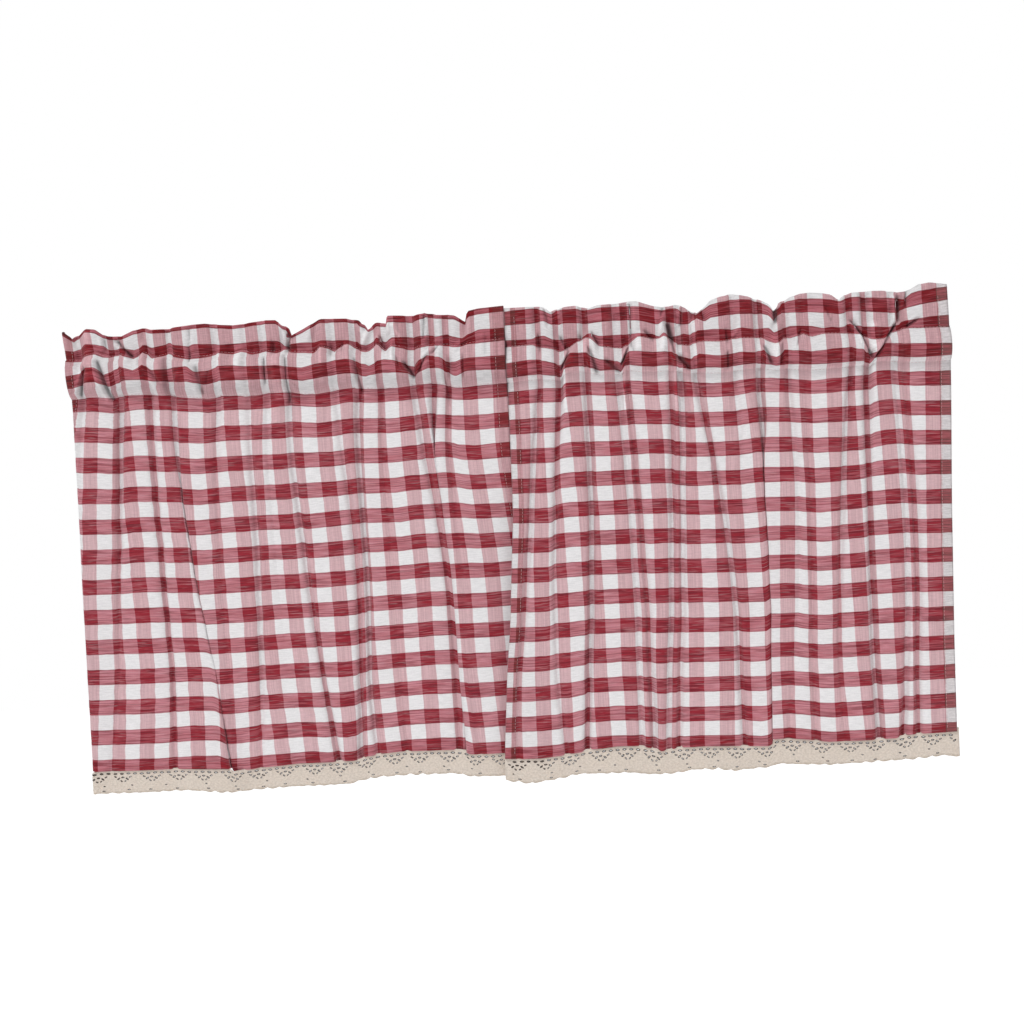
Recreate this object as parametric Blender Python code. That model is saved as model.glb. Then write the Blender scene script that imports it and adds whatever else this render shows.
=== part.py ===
"""Gathered gingham window valance: two panels side by side, each a rod-pocket heading, a body and a lace edging.

The frame is +Z up with its origin at the centre of the top edge, and the cloth faces -Y.
Sizes in the tables are millimetres. A level is a distance down the cloth from its top fold. A fold's place
along the cloth is counted in check repeats, 1 being the left edge of the first whole repeat.
"""

import math
from collections import namedtuple

import bpy
import numpy as np

MM = 0.001

# Driving dimensions, in millimetres
CHECK_REPEAT = 29.2  # one coloured and one white check
FINISHED_DROP = 457.0  # nominal length from the top fold to the lace edge
HEADER_FOOT = 33.0  # upper seam, below the ruffled header
POCKET_FOOT = 73.0  # lower seam, below the rod pocket
HEM = 437.0  # nominal length of the cloth
LACE_LAP = 5.0  # lace sewn behind the hem
CLOTH = 1.2  # single layer
HEADER_CLOTH = 2.4  # two layers with the fold between them
SIDE_HEM = 11.0
SIDE_HEM_EXTRA = 1.0  # the turned-in layer of a side hem
SEAM_GAP = 0.4

# The rod pocket, as the bulge of each of its walls from the hanging line
POCKET_FRONT = 13.0
POCKET_BACK = 11.0
POCKET_FULLNESS = 0.5
BACK_RIPPLE = 0.6  # the back wall's ripples, as a share of the front's

# How the cloth bends
FOLD_SOFTNESS = 2.5
STEEPEST_SLOPE = math.radians(86)
CROWN = math.radians(11)  # each band between two folds bows forward by this slope
MITER_LIMIT = 1.6
EDGE_CURL = math.radians(140)
CURL_LENGTH = 22.0
LEAN_REACH = 75.0  # the meeting edges part over this width, so that one hangs in front of the other

# Levels where the fold tables give their values
HEAD_LEVEL, HEM_LEVEL = 80.0, 431.0

BODY_LEVELS = (POCKET_FOOT, 88.0, 110.0, 145.0, 200.0, 262.0, 325.0, 385.0, HEM - LACE_LAP, HEM)
# Share of half a fold's length at which a mesh column stands
FOLD_COLUMNS = (-1.0, -0.25, 0.25, 1.0)
LEAST_SPACING = 1.2

# A fold hangs back between two bands. It takes cloth out of sight and opens as wide as a crease at the front.
Fold = namedtuple("Fold", "at_head at_mid at_hem takes_head takes_mid takes_hem opens")
# Where a panel ends at a level, how much of its left side turns back, and how far its meeting edge leans
Edge = namedtuple("Edge", "level left right turned_back lean")
# Distances below the top line of the lower seam, of the check row named in the panel, of the hem and of the lace
Sag = namedtuple("Sag", "at seam row hem lace")
# A notch in the ruffled top edge
Dip = namedtuple("Dip", "at drop reach")
Panel = namedtuple("Panel", "side flat_width first_repeat row_level meeting_edge folds edges sags dips")

LEFT_PANEL = Panel(
    side="left",
    flat_width=624.0,
    first_repeat=25.6,
    row_level=130.0,
    meeting_edge="right",
    folds=(
        Fold(0.80, 0.80, 0.80, 9, 0, 0, 5),
        Fold(2.70, 2.38, 2.00, 27, 8, 2, 4),
        Fold(4.45, 4.30, 4.30, 14, 12, 6, 5),
        Fold(5.75, 6.03, 7.00, 15, 22, 30, 3),
        Fold(7.70, 7.30, 7.60, 9, 3, 2, 6),
        Fold(8.95, 8.85, 8.40, 5, 12, 3, 6),
        Fold(9.75, 9.75, 9.75, 8, 1, 0, 5),
        Fold(10.85, 11.00, 11.45, 14, 11, 17, 5),
        Fold(12.80, 13.10, 12.90, 7, 11, 18, 5),
        Fold(14.00, 13.85, 14.00, 19, 19, 10, 4),
        Fold(15.25, 15.25, 15.25, 10, 1, 4, 5),
        Fold(16.85, 17.20, 17.25, 15, 7, 8, 5),
        Fold(18.20, 17.90, 18.00, 28, 42, 34, 3),
        Fold(19.25, 19.25, 19.25, 12, 1, 2, 5),
    ),
    edges=(
        Edge(0, -424.0, 3.2, 2, 0),
        Edge(73, -420.5, 3.2, 4, 0),
        Edge(138, -421.0, 4.0, 16, 0),
        Edge(204, -421.5, 12.0, 22, 9),
        Edge(255, -422.5, 17.0, 26, 12),
        Edge(345, -423.0, 19.0, 28, 12),
        Edge(437, -423.5, 25.0, 36, 12),
        Edge(470, -424.0, 26.0, 37, 12),
    ),
    sags=(
        Sag(-420, 70.0, 127.0, 437.5, 460),
        Sag(-380, 71.5, 131.0, 438.0, 460),
        Sag(-340, 71.0, 130.0, 438.0, 460),
        Sag(-292, 76.0, 134.0, 439.5, 464),
        Sag(-270, 72.5, 132.5, 443.0, 464),
        Sag(-240, 75.0, 132.5, 440.0, 462),
        Sag(-208, 71.0, 133.5, 439.0, 462),
        Sag(-190, 76.0, 133.5, 439.0, 462),
        Sag(-160, 71.0, 131.5, 436.0, 458),
        Sag(-130, 71.5, 130.5, 431.5, 456),
        Sag(-100, 71.0, 130.0, 431.0, 455),
        Sag(-65, 69.0, 129.0, 431.5, 455),
        Sag(-45, 76.0, 132.0, 434.5, 458),
        Sag(0, 74.0, 132.0, 437.0, 461),
    ),
    dips=(
        Dip(-415, 8, 7),
        Dip(-378, 8, 14),
        Dip(-333, 4, 12),
        Dip(-255, 3, 20),
        Dip(-203, 15, 6),
        Dip(-188, 9, 10),
        Dip(-127, 13, 8),
        Dip(-82, 4, 14),
        Dip(-52, 5, 10),
        Dip(-35, 9, 7),
    ),
)

RIGHT_PANEL = Panel(
    side="right",
    flat_width=644.0,
    first_repeat=6.0,
    row_level=139.0,
    meeting_edge="left",
    folds=(
        Fold(2.15, 1.50, 1.30, 16, 13, 4, 4),
        Fold(3.50, 2.90, 3.10, 20, 11, 8, 4),
        Fold(5.05, 4.75, 4.30, 18, 21, 19, 4),
        Fold(6.75, 6.80, 6.70, 12, 9, 11, 4),
        Fold(7.20, 7.30, 7.60, 11, 13, 19, 4),
        Fold(9.20, 8.90, 8.75, 11, 14, 14, 4),
        Fold(9.75, 9.60, 9.45, 16, 13, 11, 4),
        Fold(10.90, 11.75, 12.10, 15, 14, 11, 4),
        Fold(12.60, 12.60, 12.60, 8, 0, 0, 5),
        Fold(13.95, 13.85, 13.85, 22, 40, 44, 3),
        Fold(15.45, 15.70, 15.20, 11, 3, 3, 5),
        Fold(16.25, 16.25, 16.25, 3, 6, 5, 6),
        Fold(18.10, 17.50, 17.30, 16, 11, 2, 4),
        Fold(19.30, 19.05, 18.90, 22, 18, 22, 4),
        Fold(20.85, 20.80, 20.40, 9, 9, 16, 4),
        Fold(21.25, 21.30, 21.40, 4, 14, 11, 4),
    ),
    edges=(
        Edge(0, 5.2, 428.0, 0, 0),
        Edge(60, 5.2, 430.0, 0, 0),
        Edge(120, 5.2, 428.5, 0, 0),
        Edge(204, 4.5, 426.0, 0, -2),
        Edge(260, 0.0, 425.0, 0, -4),
        Edge(317, -4.0, 424.0, 0, -4),
        Edge(345, -8.0, 423.5, 0, -4),
        Edge(431, -15.0, 423.0, 0, -4),
        Edge(465, -17.0, 423.0, 0, -4),
    ),
    sags=(
        Sag(8, 74.0, 140.0, 442.0, 467),
        Sag(40, 73.0, 139.0, 440.0, 463),
        Sag(55, 75.0, 137.0, 438.5, 460),
        Sag(80, 73.0, 136.0, 435.0, 460),
        Sag(95, 73.0, 136.0, 433.0, 460),
        Sag(115, 75.0, 136.0, 434.5, 461),
        Sag(140, 73.0, 136.5, 440.0, 463),
        Sag(182, 76.0, 139.5, 437.0, 460),
        Sag(200, 73.0, 142.0, 438.0, 463),
        Sag(240, 74.0, 139.5, 440.0, 460),
        Sag(252, 74.0, 140.0, 434.0, 460),
        Sag(300, 74.0, 142.0, 437.0, 461),
        Sag(354, 76.0, 139.0, 436.5, 460),
        Sag(380, 73.0, 137.5, 435.0, 459),
        Sag(420, 73.0, 141.0, 433.0, 457),
    ),
    dips=(
        Dip(50, 6, 6),
        Dip(86, 4, 7),
        Dip(158, 7, 9),
        Dip(180, 9, 7),
        Dip(192, 14, 8),
        Dip(252, 5, 8),
        Dip(264, 14, 7),
        Dip(325, 4, 8),
        Dip(387, 6, 8),
    ),
)
TOP_LINE = 3.0  # the ruffle's crests stand this far below the nominal top line

# How deep a fold may hang at each level: the rod keeps the pocket's ripples shallow
DEPTH_LEVELS = (0.0, 33.0, 53.0, 73.0, 95.0, 140.0, 210.0)
DEPTH_LIMITS = (8.0, 5.0, 3.5, 5.0, 14.0, 45.0, 400.0)

Finish = namedtuple("Finish", "name colour roughness")
GINGHAM = Finish("woven_gingham_cotton", (0.62, 0.26, 0.29), 0.9)
LACE = Finish("cotton_lace", (0.71, 0.63, 0.53), 0.9)


def through_three(head, middle, hem, level):
    """The quadratic through a value at the head, half way down and at the hem."""
    u = min(max((level - HEAD_LEVEL) / (HEM_LEVEL - HEAD_LEVEL), 0.0), 1.05)
    return head * (1 - u) * (1 - 2 * u) + 4 * middle * u * (1 - u) + hem * u * (2 * u - 1)


def eased(level, rows, column):
    """A column of the edge table at a level, with its corners rounded."""
    levels = [row.level for row in rows]
    values = [getattr(row, column) for row in rows]
    near = np.clip(level + np.array([-16, -8, 0, 8, 16]), levels[0], levels[-1])
    return float(np.interp(near, levels, values).mean())


def fold_at(panel, fold, level):
    """A fold's middle and the length of cloth in it, at a level."""
    middle = through_three(fold.at_head, fold.at_mid, fold.at_hem, level)
    takes = through_three(fold.takes_head, fold.takes_mid, fold.takes_hem, level)
    return panel.first_repeat + CHECK_REPEAT * (middle - 1), max(takes, 0.0) + fold.opens


def softened(values):
    """Values at every millimetre of cloth, spread as far as the cloth needs to bend."""
    reach = np.arange(-8, 9)
    weights = np.exp(-0.5 * (reach / FOLD_SOFTNESS) ** 2)
    padded = np.pad(values, 8, mode="edge")
    return np.convolve(padded, weights / weights.sum(), mode="valid")


def fold_slopes(panel, along, level):
    """The cloth's slope in plan from its folds and from the bow of each band between them."""
    slope = np.zeros_like(along)
    middles = [eased(level, panel.edges, "turned_back")]
    for fold in panel.folds:
        middle, length = fold_at(panel, fold, level)
        middles.append(middle)
        steep = math.acos(fold.opens / length)
        slope += np.where(np.abs(along - middle) < length / 2, steep * np.sign(middle - along), 0.0)
    middles = np.array(middles + [panel.flat_width])
    band = np.interp(along, middles, np.arange(len(middles)))
    return softened(slope - CROWN * np.cos(math.pi * (band % 1.0)))


def plan_line(panel, level):
    """The front face seen from above: cloth distance, x and y at every millimetre of cloth."""
    along = np.arange(0.0, panel.flat_width + 0.5)
    turn = eased(level, panel.edges, "turned_back")
    curl = softened(-EDGE_CURL * np.clip((turn - along) / CURL_LENGTH + 0.55, 0, 1) * (along < turn))
    slopes = fold_slopes(panel, along, level) * (along >= turn)
    left = eased(level, panel.edges, "left")
    right = eased(level, panel.edges, "right")
    low, high = 0.2, 3.0
    for _ in range(30):
        share = (low + high) / 2
        slope = np.clip(share * slopes, -STEEPEST_SLOPE, STEEPEST_SLOPE) + curl
        x = np.concatenate([[0], np.cumsum(np.cos((slope[1:] + slope[:-1]) / 2))])
        wide = x[-1] - x.min() > right - left
        low, high = (share, high) if wide else (low, share)
    y = np.concatenate([[0], np.cumsum(np.sin((slope[1:] + slope[:-1]) / 2))])
    y -= np.interp(along, [turn, panel.flat_width], [np.interp(turn, along, y), y[-1]])
    limit = np.interp(level, DEPTH_LEVELS, DEPTH_LIMITS)
    x += left - x.min()
    from_edge = right - x if panel.meeting_edge == "right" else x - left
    lean = np.clip(1 - from_edge / LEAN_REACH, 0, 1)
    lean = lean * lean * (3 - 2 * lean) * eased(level, panel.edges, "lean")
    return along, x, limit * np.tanh(y / limit) + lean


def column_places(panel, level):
    """Cloth distances of the mesh columns at a level: four across each fold and one between two folds."""
    turn = eased(level, panel.edges, "turned_back")
    places = [0.0, turn / 2, turn] if turn else [0.0]
    end = places[-1]
    for fold in panel.folds:
        middle, length = fold_at(panel, fold, level)
        places.append((end + middle - length / 2) / 2)
        places += [middle + length / 2 * share for share in FOLD_COLUMNS]
        end = places[-1]
    places = np.array(places + [(end + panel.flat_width) / 2, panel.flat_width])
    for i in range(1, len(places)):
        places[i] = max(places[i], places[i - 1] + LEAST_SPACING)
    for i in range(len(places) - 1, 0, -1):
        places[i - 1] = min(places[i - 1], places[i] - LEAST_SPACING)
    return places + (panel.flat_width - places[-1])


def top_line(panel, x):
    """How far the ruffled top edge stands below the nominal top line."""
    drops = [dip.drop * np.exp(-np.abs((x - dip.at) / dip.reach) ** 1.5) for dip in panel.dips]
    return TOP_LINE + np.max(drops, axis=0)


def height(panel, x, level):
    """z of the cloth at a level, with the top edge, seam, checks and hem as uneven as their table."""
    at = [sag.at for sag in panel.sags]
    seam, row, hem, lace = (
        np.interp(x, at, [getattr(sag, name) for sag in panel.sags]) for name in ("seam", "row", "hem", "lace")
    )
    knots = (0.0, POCKET_FOOT, panel.row_level, HEM, FINISHED_DROP)
    lines = np.array([top_line(panel, x), seam, row, hem, lace])
    upper = min(max(np.searchsorted(knots, level), 1), len(knots) - 1)
    share = (level - knots[upper - 1]) / (knots[upper] - knots[upper - 1])
    return -(lines[upper - 1] * (1 - share) + lines[upper] * share)


def back_normals(x, y):
    """Unit-thickness offsets to the cloth's back, mitred at each column and held back at sharp turns."""
    tangent = np.stack([np.diff(x), np.diff(y)], axis=1)
    tangent /= np.linalg.norm(tangent, axis=1, keepdims=True)
    before = np.concatenate([tangent[:1], tangent])
    after = np.concatenate([tangent, tangent[-1:]])
    mean = before + after
    length = np.linalg.norm(mean, axis=1, keepdims=True)
    normal = np.stack([-mean[:, 1], mean[:, 0]], axis=1) / length
    return normal * np.minimum(2 / length, MITER_LIMIT)


def cloth_thickness(panel, places):
    """One layer, and two layers in each side hem."""
    from_side = np.minimum(places, panel.flat_width - places)
    return CLOTH + SIDE_HEM_EXTRA * np.clip((SIDE_HEM + 2 - from_side) / 4, 0, 1)


def front_row(panel, level):
    """x and y of the front face at the mesh columns of a level, with the places of those columns."""
    along, x_line, y_line = plan_line(panel, level)
    places = column_places(panel, level)
    return np.interp(places, along, x_line), np.interp(places, along, y_line), places


def sheet_rows(panel, levels, gap, thickness):
    """Rows of front and back points of a sheet that lies a gap behind the cloth's front face."""
    fronts, backs = [], []
    for level in levels:
        x, y, places = front_row(panel, level)
        normal = back_normals(x, y)
        near = np.broadcast_to(gap(places), x.shape)[:, None]
        far = near + np.broadcast_to(thickness(places), x.shape)[:, None]
        for rows, offset in ((fronts, near), (backs, far)):
            plan = np.stack([x, y], axis=1) + normal * offset
            rows.append(np.column_stack([plan, height(panel, plan[:, 0], level)]))
    return np.array(fronts), np.array(backs)


def add_object(name, points, faces, finish):
    """One closed mesh object with its own material."""
    mesh = bpy.data.meshes.new(name)
    mesh.from_pydata([tuple(point) for point in np.asarray(points) * MM], [], faces)
    mesh.shade_smooth()
    material = bpy.data.materials.new(f"{name}_{finish.name}")
    material.use_nodes = True
    shader = material.node_tree.nodes["Principled BSDF"]
    shader.inputs["Base Color"].default_value = (*finish.colour, 1.0)
    shader.inputs["Roughness"].default_value = finish.roughness
    shader.inputs["Metallic"].default_value = 0.0
    mesh.materials.append(material)
    made = bpy.data.objects.new(name, mesh)
    bpy.context.scene.collection.objects.link(made)
    return made


def closed_sheet(name, fronts, backs, finish):
    """A sheet from its front and back points, closed round its four edges."""
    rows, columns = fronts.shape[:2]
    index = np.arange(rows * columns).reshape(rows, columns)
    behind = index + rows * columns
    faces = []
    for i in range(rows - 1):
        for j in range(columns - 1):
            faces.append((index[i, j], index[i + 1, j], index[i + 1, j + 1], index[i, j + 1]))
            faces.append((behind[i, j], behind[i, j + 1], behind[i + 1, j + 1], behind[i + 1, j]))
    rim = [*index[0], *index[1:, -1], *index[-1, -2::-1], *index[-2:0:-1, 0]]
    for start, end in zip(rim, rim[1:] + rim[:1]):
        faces.append((start, end, end + rows * columns, start + rows * columns))
    faces = [tuple(int(corner) for corner in face) for face in faces]
    return add_object(name, np.concatenate([fronts.reshape(-1, 3), backs.reshape(-1, 3)]), faces, finish)


def body(panel):
    """The hanging cloth below the rod pocket, with its side hems turned in."""
    fronts, backs = sheet_rows(panel, BODY_LEVELS, lambda places: 0.0, lambda places: cloth_thickness(panel, places))
    return closed_sheet(f"panel_{panel.side}", fronts, backs, GINGHAM)


def lace(panel):
    """The lace strip, lapped behind the hem and hanging on in the same folds."""
    levels = (HEM - LACE_LAP, HEM, (HEM + FINISHED_DROP) / 2, FINISHED_DROP)
    fronts, backs = sheet_rows(
        panel, levels, lambda places: cloth_thickness(panel, places) + SEAM_GAP, lambda places: CLOTH
    )
    return closed_sheet(f"lace_{panel.side}", fronts, backs, LACE)


def pocket_bulge(level):
    """The shape of the pocket's walls between its two seams, 1 at the fullest."""
    share = (level - HEADER_FOOT) / (POCKET_FOOT - HEADER_FOOT)
    return math.sin(math.pi * share) ** POCKET_FULLNESS if 0 < share < 1 else 0.0


def wall_row(panel, level, side, inward):
    """A row of the heading on its front (-1) or back (1), moved inward to the face that the rod touches."""
    x, y, _ = front_row(panel, level)
    z = height(panel, x, level) + SEAM_GAP * (level == POCKET_FOOT)
    steep = np.minimum(np.hypot(np.gradient(x), np.gradient(y)) / np.gradient(x), 2.0)
    bulge = pocket_bulge(level)
    if side < 0:
        return np.column_stack([x, y - POCKET_FRONT * bulge + inward * steep, z])
    ripple = y * (1 - bulge + BACK_RIPPLE * bulge)
    return np.column_stack([x, ripple + POCKET_BACK * bulge + (HEADER_CLOTH - inward) * steep, z])


def heading(panel):
    """The ruffled header and the rod pocket below it, open at both ends for the rod."""
    down = (POCKET_FOOT, 63.0, 52.0, 41.0, HEADER_FOOT, 18.0, 2.0)
    inside = (65.0, 53.0, 40.0)
    outer = [wall_row(panel, level, -1, 0.0) for level in down]
    outer += [wall_row(panel, level, 1, 0.0) for level in reversed(down)]
    inner = [wall_row(panel, level, -1, CLOTH) for level in inside]
    inner += [wall_row(panel, level, 1, HEADER_CLOTH) for level in reversed(inside)]
    outer, inner = np.array(outer), np.array(inner)
    stations = outer.shape[1]
    ring = np.arange(outer.shape[0] * stations).reshape(-1, stations)
    hole = np.arange(inner.shape[0] * stations).reshape(-1, stations) + ring.size
    faces = []
    for loop, turn in ((ring, 1), (hole, -1)):
        for i in range(len(loop)):
            nxt = (i + 1) % len(loop)
            for j in range(stations - 1):
                face = (loop[i, j], loop[i, j + 1], loop[nxt, j + 1], loop[nxt, j])
                faces.append(face[::turn])
    # Each end is a flat ring of quads and triangles between the outer loop and the pocket's mouth
    mouth = (
        ("o0", "o1", "i0"), ("o1", "o2", "i1", "i0"), ("o2", "o3", "i2", "i1"), ("o3", "o4", "i2"),
        ("o4", "o9", "i3", "i2"), ("o4", "o5", "o8", "o9"), ("o5", "o6", "o7", "o8"),
        ("o9", "o10", "i3"), ("o10", "o11", "i4", "i3"), ("o11", "o12", "i5", "i4"), ("o12", "o13", "i5"),
        ("o13", "o0", "i0", "i5"),
    )
    for station in (0, stations - 1):
        for corners in mouth:
            loops = [ring if corner[0] == "o" else hole for corner in corners]
            face = [loop[int(corner[1:]), station] for loop, corner in zip(loops, corners)]
            faces.append(tuple(face if station == 0 else face[::-1]))
    faces = [tuple(int(corner) for corner in face) for face in faces]
    return add_object(
        f"heading_{panel.side}", np.concatenate([outer.reshape(-1, 3), inner.reshape(-1, 3)]), faces, GINGHAM
    )


def main():
    for old in list(bpy.data.objects):
        bpy.data.objects.remove(old, do_unlink=True)
    for panel in (LEFT_PANEL, RIGHT_PANEL):
        heading(panel)
        body(panel)
        lace(panel)


if __name__ == "__main__":
    main()
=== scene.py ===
"""Gathered gingham window valance: two cotton panels with ruffled headers and rod pockets, edged with lace.

Laid out as a Blender add-on and run as a script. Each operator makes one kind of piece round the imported
frame. Sizes in the tables are millimetres, and z is measured down from the top line. A flat place is a
distance on the cloth before it was gathered: across from the panel's left finished edge, or down from the
check row at the foot of its pocket.
"""

import functools
import math
from collections import namedtuple

import bpy
import numpy as np
from mathutils import Matrix, Vector, geometry


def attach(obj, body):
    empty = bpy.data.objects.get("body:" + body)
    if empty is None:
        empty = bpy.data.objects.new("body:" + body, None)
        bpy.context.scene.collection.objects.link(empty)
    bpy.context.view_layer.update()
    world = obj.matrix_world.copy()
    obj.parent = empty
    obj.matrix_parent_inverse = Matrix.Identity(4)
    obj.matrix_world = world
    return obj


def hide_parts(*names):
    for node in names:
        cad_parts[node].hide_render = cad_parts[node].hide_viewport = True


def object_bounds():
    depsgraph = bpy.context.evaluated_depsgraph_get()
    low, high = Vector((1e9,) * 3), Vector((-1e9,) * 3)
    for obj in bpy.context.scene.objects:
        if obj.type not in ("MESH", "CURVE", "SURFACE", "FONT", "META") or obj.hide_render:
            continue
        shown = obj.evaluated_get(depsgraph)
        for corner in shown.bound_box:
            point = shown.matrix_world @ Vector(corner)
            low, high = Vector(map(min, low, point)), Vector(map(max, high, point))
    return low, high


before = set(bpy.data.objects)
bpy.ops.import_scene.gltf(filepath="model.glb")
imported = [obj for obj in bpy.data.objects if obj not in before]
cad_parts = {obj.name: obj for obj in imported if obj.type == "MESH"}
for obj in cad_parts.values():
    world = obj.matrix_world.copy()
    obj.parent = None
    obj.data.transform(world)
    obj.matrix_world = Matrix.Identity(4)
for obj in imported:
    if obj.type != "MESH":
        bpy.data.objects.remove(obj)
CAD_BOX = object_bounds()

bl_info = {
    "name": "Gathered Gingham Valance",
    "version": (1, 0, 0),
    "blender": (4, 5, 0),
    "location": "View3D > Sidebar > Valance",
    "description": "Makes the cloth, lace and stitching of a rod-pocket window valance",
    "category": "Object",
}

MM = 0.001
BODY = "root"

# The cloth's layout
CHECK = 14.6
CHECK_REPEAT = 2 * CHECK
SIDE_HEM = 11.0
HEM_TURN = 9.0
HEADER_GAP = 2.35  # between the middles of the header's two layers
HEM_GAP = 0.7  # between the middles of a cloth and its turned-in hem
HEM_TURN_GAP = 1.75  # between the middles of a cloth and its turned-up hem
HEM_TURN_PRESS = 0.7  # the share of the side hem's depth that a turned-up hem gives up to it
BACK_FOOT = 7.0  # the back wall of the pocket runs on this far below the lower seam
LACE_LAP, LACE_DROP = 5.0, 23.5  # above the cloth's hem, where it's sewn on, and below it
LACE_BEHIND = 2.7
LACE_FOLD_DEPTH = 1.6  # the lace follows the folds no deeper than this
LACE_BRIDGE, LACE_BRIDGING = 12, 6.0  # it bridges what is narrower than this each way, and how softly
LACE_OVERHANG = 2.0  # past the panel's outer edge
SCALLOP = 13.0
RUNG_TILT = 0.1
DOT_SPACE, EDGE_DOT_SPACE = 34.0, 27.0  # between the lace's single openings in the middle and near its edge
RIM, RIM_REACH = 0.7, 0.25  # the thread round an opening is painted in shade this far inwards and outwards

# How the cloth bends, as in the solids
FOLD_SOFTNESS = 1.3
STEEPEST_SLOPE = math.radians(100)
CLOSED_BELOW, CLOSED_OPENING = 3.0, 1.2  # a fold this narrow hangs closed, with this much between its lips
CLOSED_TILT = math.radians(10)  # a closed fold lies over to the right, behind the cloth beside it
FULL_TILT = 20.0  # a fold that takes this much cloth tilts all the way
CLOSING = (100.0, 180.0)  # such a fold is still loose at the first level and closed at the second
FLATNESS = 0.62  # the cloth is thin and wide folds lie flatter than they'd stand by themselves
OPENING_SHARE = 0.45
CROWN = math.radians(11)
MITER_LIMIT = 1.6
EDGE_CURL = math.radians(140)
CURL_LENGTH, CURL_START = 22.0, 0.55
LEAN_REACH = 75.0
HEAD_LEVEL, HEM_LEVEL = 80.0, 431.0
BELOW_HEM = 1.05  # the folds run on this far, as a share of the way from the head to the hem
CORNER_ROUNDING = np.array([-16, -8, 0, 8, 16])
SLOPE_SHARES, SLOPE_ROUNDS = (0.2, 3.0), 30  # slopes are scaled within this until the panel's width is met
DEPTH_LEVELS = (0, 33, 53, 73, 95, 140, 210)
DEPTH_LIMITS = (8, 5, 3.5, 5, 14, 45, 400)  # how far forward or back the folds go at those levels
POCKET_FULLNESS = 0.5
BACK_RIPPLE = 0.6
ROW_GAP = 0.4  # a check row stays at least this far below the one above it

# The heading's gathers, puckers and creases
GATHER_LIMIT = 9.0
GATHER_SMOOTHING = 1.2
# The gathers' share at the header's edge, at the next row, at the pocket's foot and a repeat below that
GATHER_FADES = (0.3, 1.0, 1.0, 0.0)
PUCKER_RISE, PUCKER_REACH = 0.8, 9.0
PUCKER_LOWER = 0.5  # the lower seam's share
# Each wave's share, its turn for each millimetre, and how far and how fast that drifts
PUCKER_WAVES = ((1.0, 0.57, 1.6, 0.083), (0.7, 0.93, 2.0, 0.047))
CREASE_END = 6.0  # over this length a crease fades in and out
SHARP_SIDE = 0.8  # the width of a crease's sharp side
CREASE_SPREAD = 0.8  # the share of its tabled width that a soft side has
CREASE_LIP, LIP_PLACE = 0.45, 2.2  # beside a trough the cloth stands forward by this share of its depth
FULL_PAINTED_SHADE_DEPTH = 5.0  # a crease this deep gets the full painted shade
DRAWN_SHADE = 0.5  # gathers get this share of the painted shade and highlight that creases get
POCKET_SHADE_RISE, POCKET_SHADE_REACH = 7.0, 9.0  # the painted shade at the pocket's foot has its middle this far above the lower seam
DOUBLED_BLUR = 1.5  # single cloth gives way to two layers, and their painted shade, over this length

# Mesh spacing
COLUMN_STEP = 2.3
FOLD_COLUMNS = 5  # on each side of a fold's middle
FOLD_LIP, LIP_ROOM = 2.5, 0.47
BODY_ROWS, HEADING_ROWS = 44, 62
BODY_STEP, BACK_STEP = 8.0, 4.0
HEM_TURN_ROWS, HEM_ROWS = (HEM_TURN, 5.0, 1.5), (0.8, 3.0)  # above the hem's fold, behind it and in front
EDGE_ROWS = (1.6, 0.6)  # below the header's edge
TURNED_COLUMNS = (SIDE_HEM, 7.0, 3.0, 1.0)  # a turned-in hem's columns lie this far from the finished edge
FRONT = slice(len(TURNED_COLUMNS), -len(TURNED_COLUMNS))  # the columns between the two side hems
BAND_GRID_STEP = 0.02
LACE_STEP, LACE_EDGE_STEP, RING_POINTS = 2.4, 1.6, 8
NET_MARGIN, NET_ROOM = 1.5, 0.7  # the net's points stay this far inside the lace's edge and off its openings
NET_SEARCH = 4.0  # openings further along than this are too far away to matter
NORMAL_STEP = 0.4
STITCH_SIDES = 6
STITCH_RINGS = ((-1.0, 0.25), (-0.6, 0.9), (0.6, 0.9), (1.0, 0.25))  # how far along it, and how thick there
SIDE_SEAM_TOP, SIDE_SEAM_FOOT, SIDE_SEAM_IN = 4.0, 3.0, 1.5  # from the header's edge, the hem, a hem's edge

# What the cloth's material is told at each point, mostly to paint shade: how far a second layer backs it, how
# far it is from a side edge, how much painted grey shade the nearer side hem gets, how deep in a crease or
# gather it lies for painted shade and highlight, and how far it lies at the pocket's foot for painted shade
MEASURES = ("painted_layer_shade", "from_side", "painted_hem_grey", "painted_relief_shade", "under")

# A fold hangs back between two bands. At three levels it has its middle, counted in check repeats, and how
# much cloth it takes, and it opens at least so wide.
Fold = namedtuple("Fold", "at_head at_mid at_hem takes_head takes_mid takes_hem opens")
# Where a panel's edges hang at a level, how much cloth curls back at the left one, and how far back the
# meeting edge leans
Edge = namedtuple("Edge", "level left right turned_back lean")
# A check row's upper edge below the heading: how many repeats down, and its height along the panel
RowLine = namedtuple("RowLine", "flat heights")
# A trough or a ridge pressed into the heading, from one place on its front to a lower one: how wide it is,
# how far forward its middle stands, and which side falls off sharply (-1 left, 1 right, 0 neither)
Crease = namedtuple("Crease", "x z to_x to_z width rise sharp_side", defaults=(0,))
# A panel's seams are flat places. How much painted grey shade its side hems get and how much painted shade
# its pocket's foot gets are shares.
Panel = namedtuple(
    "Panel",
    "side flat_width first_repeat meeting_edge upper_seam lower_seam hem_greys under_shade folds edges "
    "columns stations rows lace creases",
)

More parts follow.
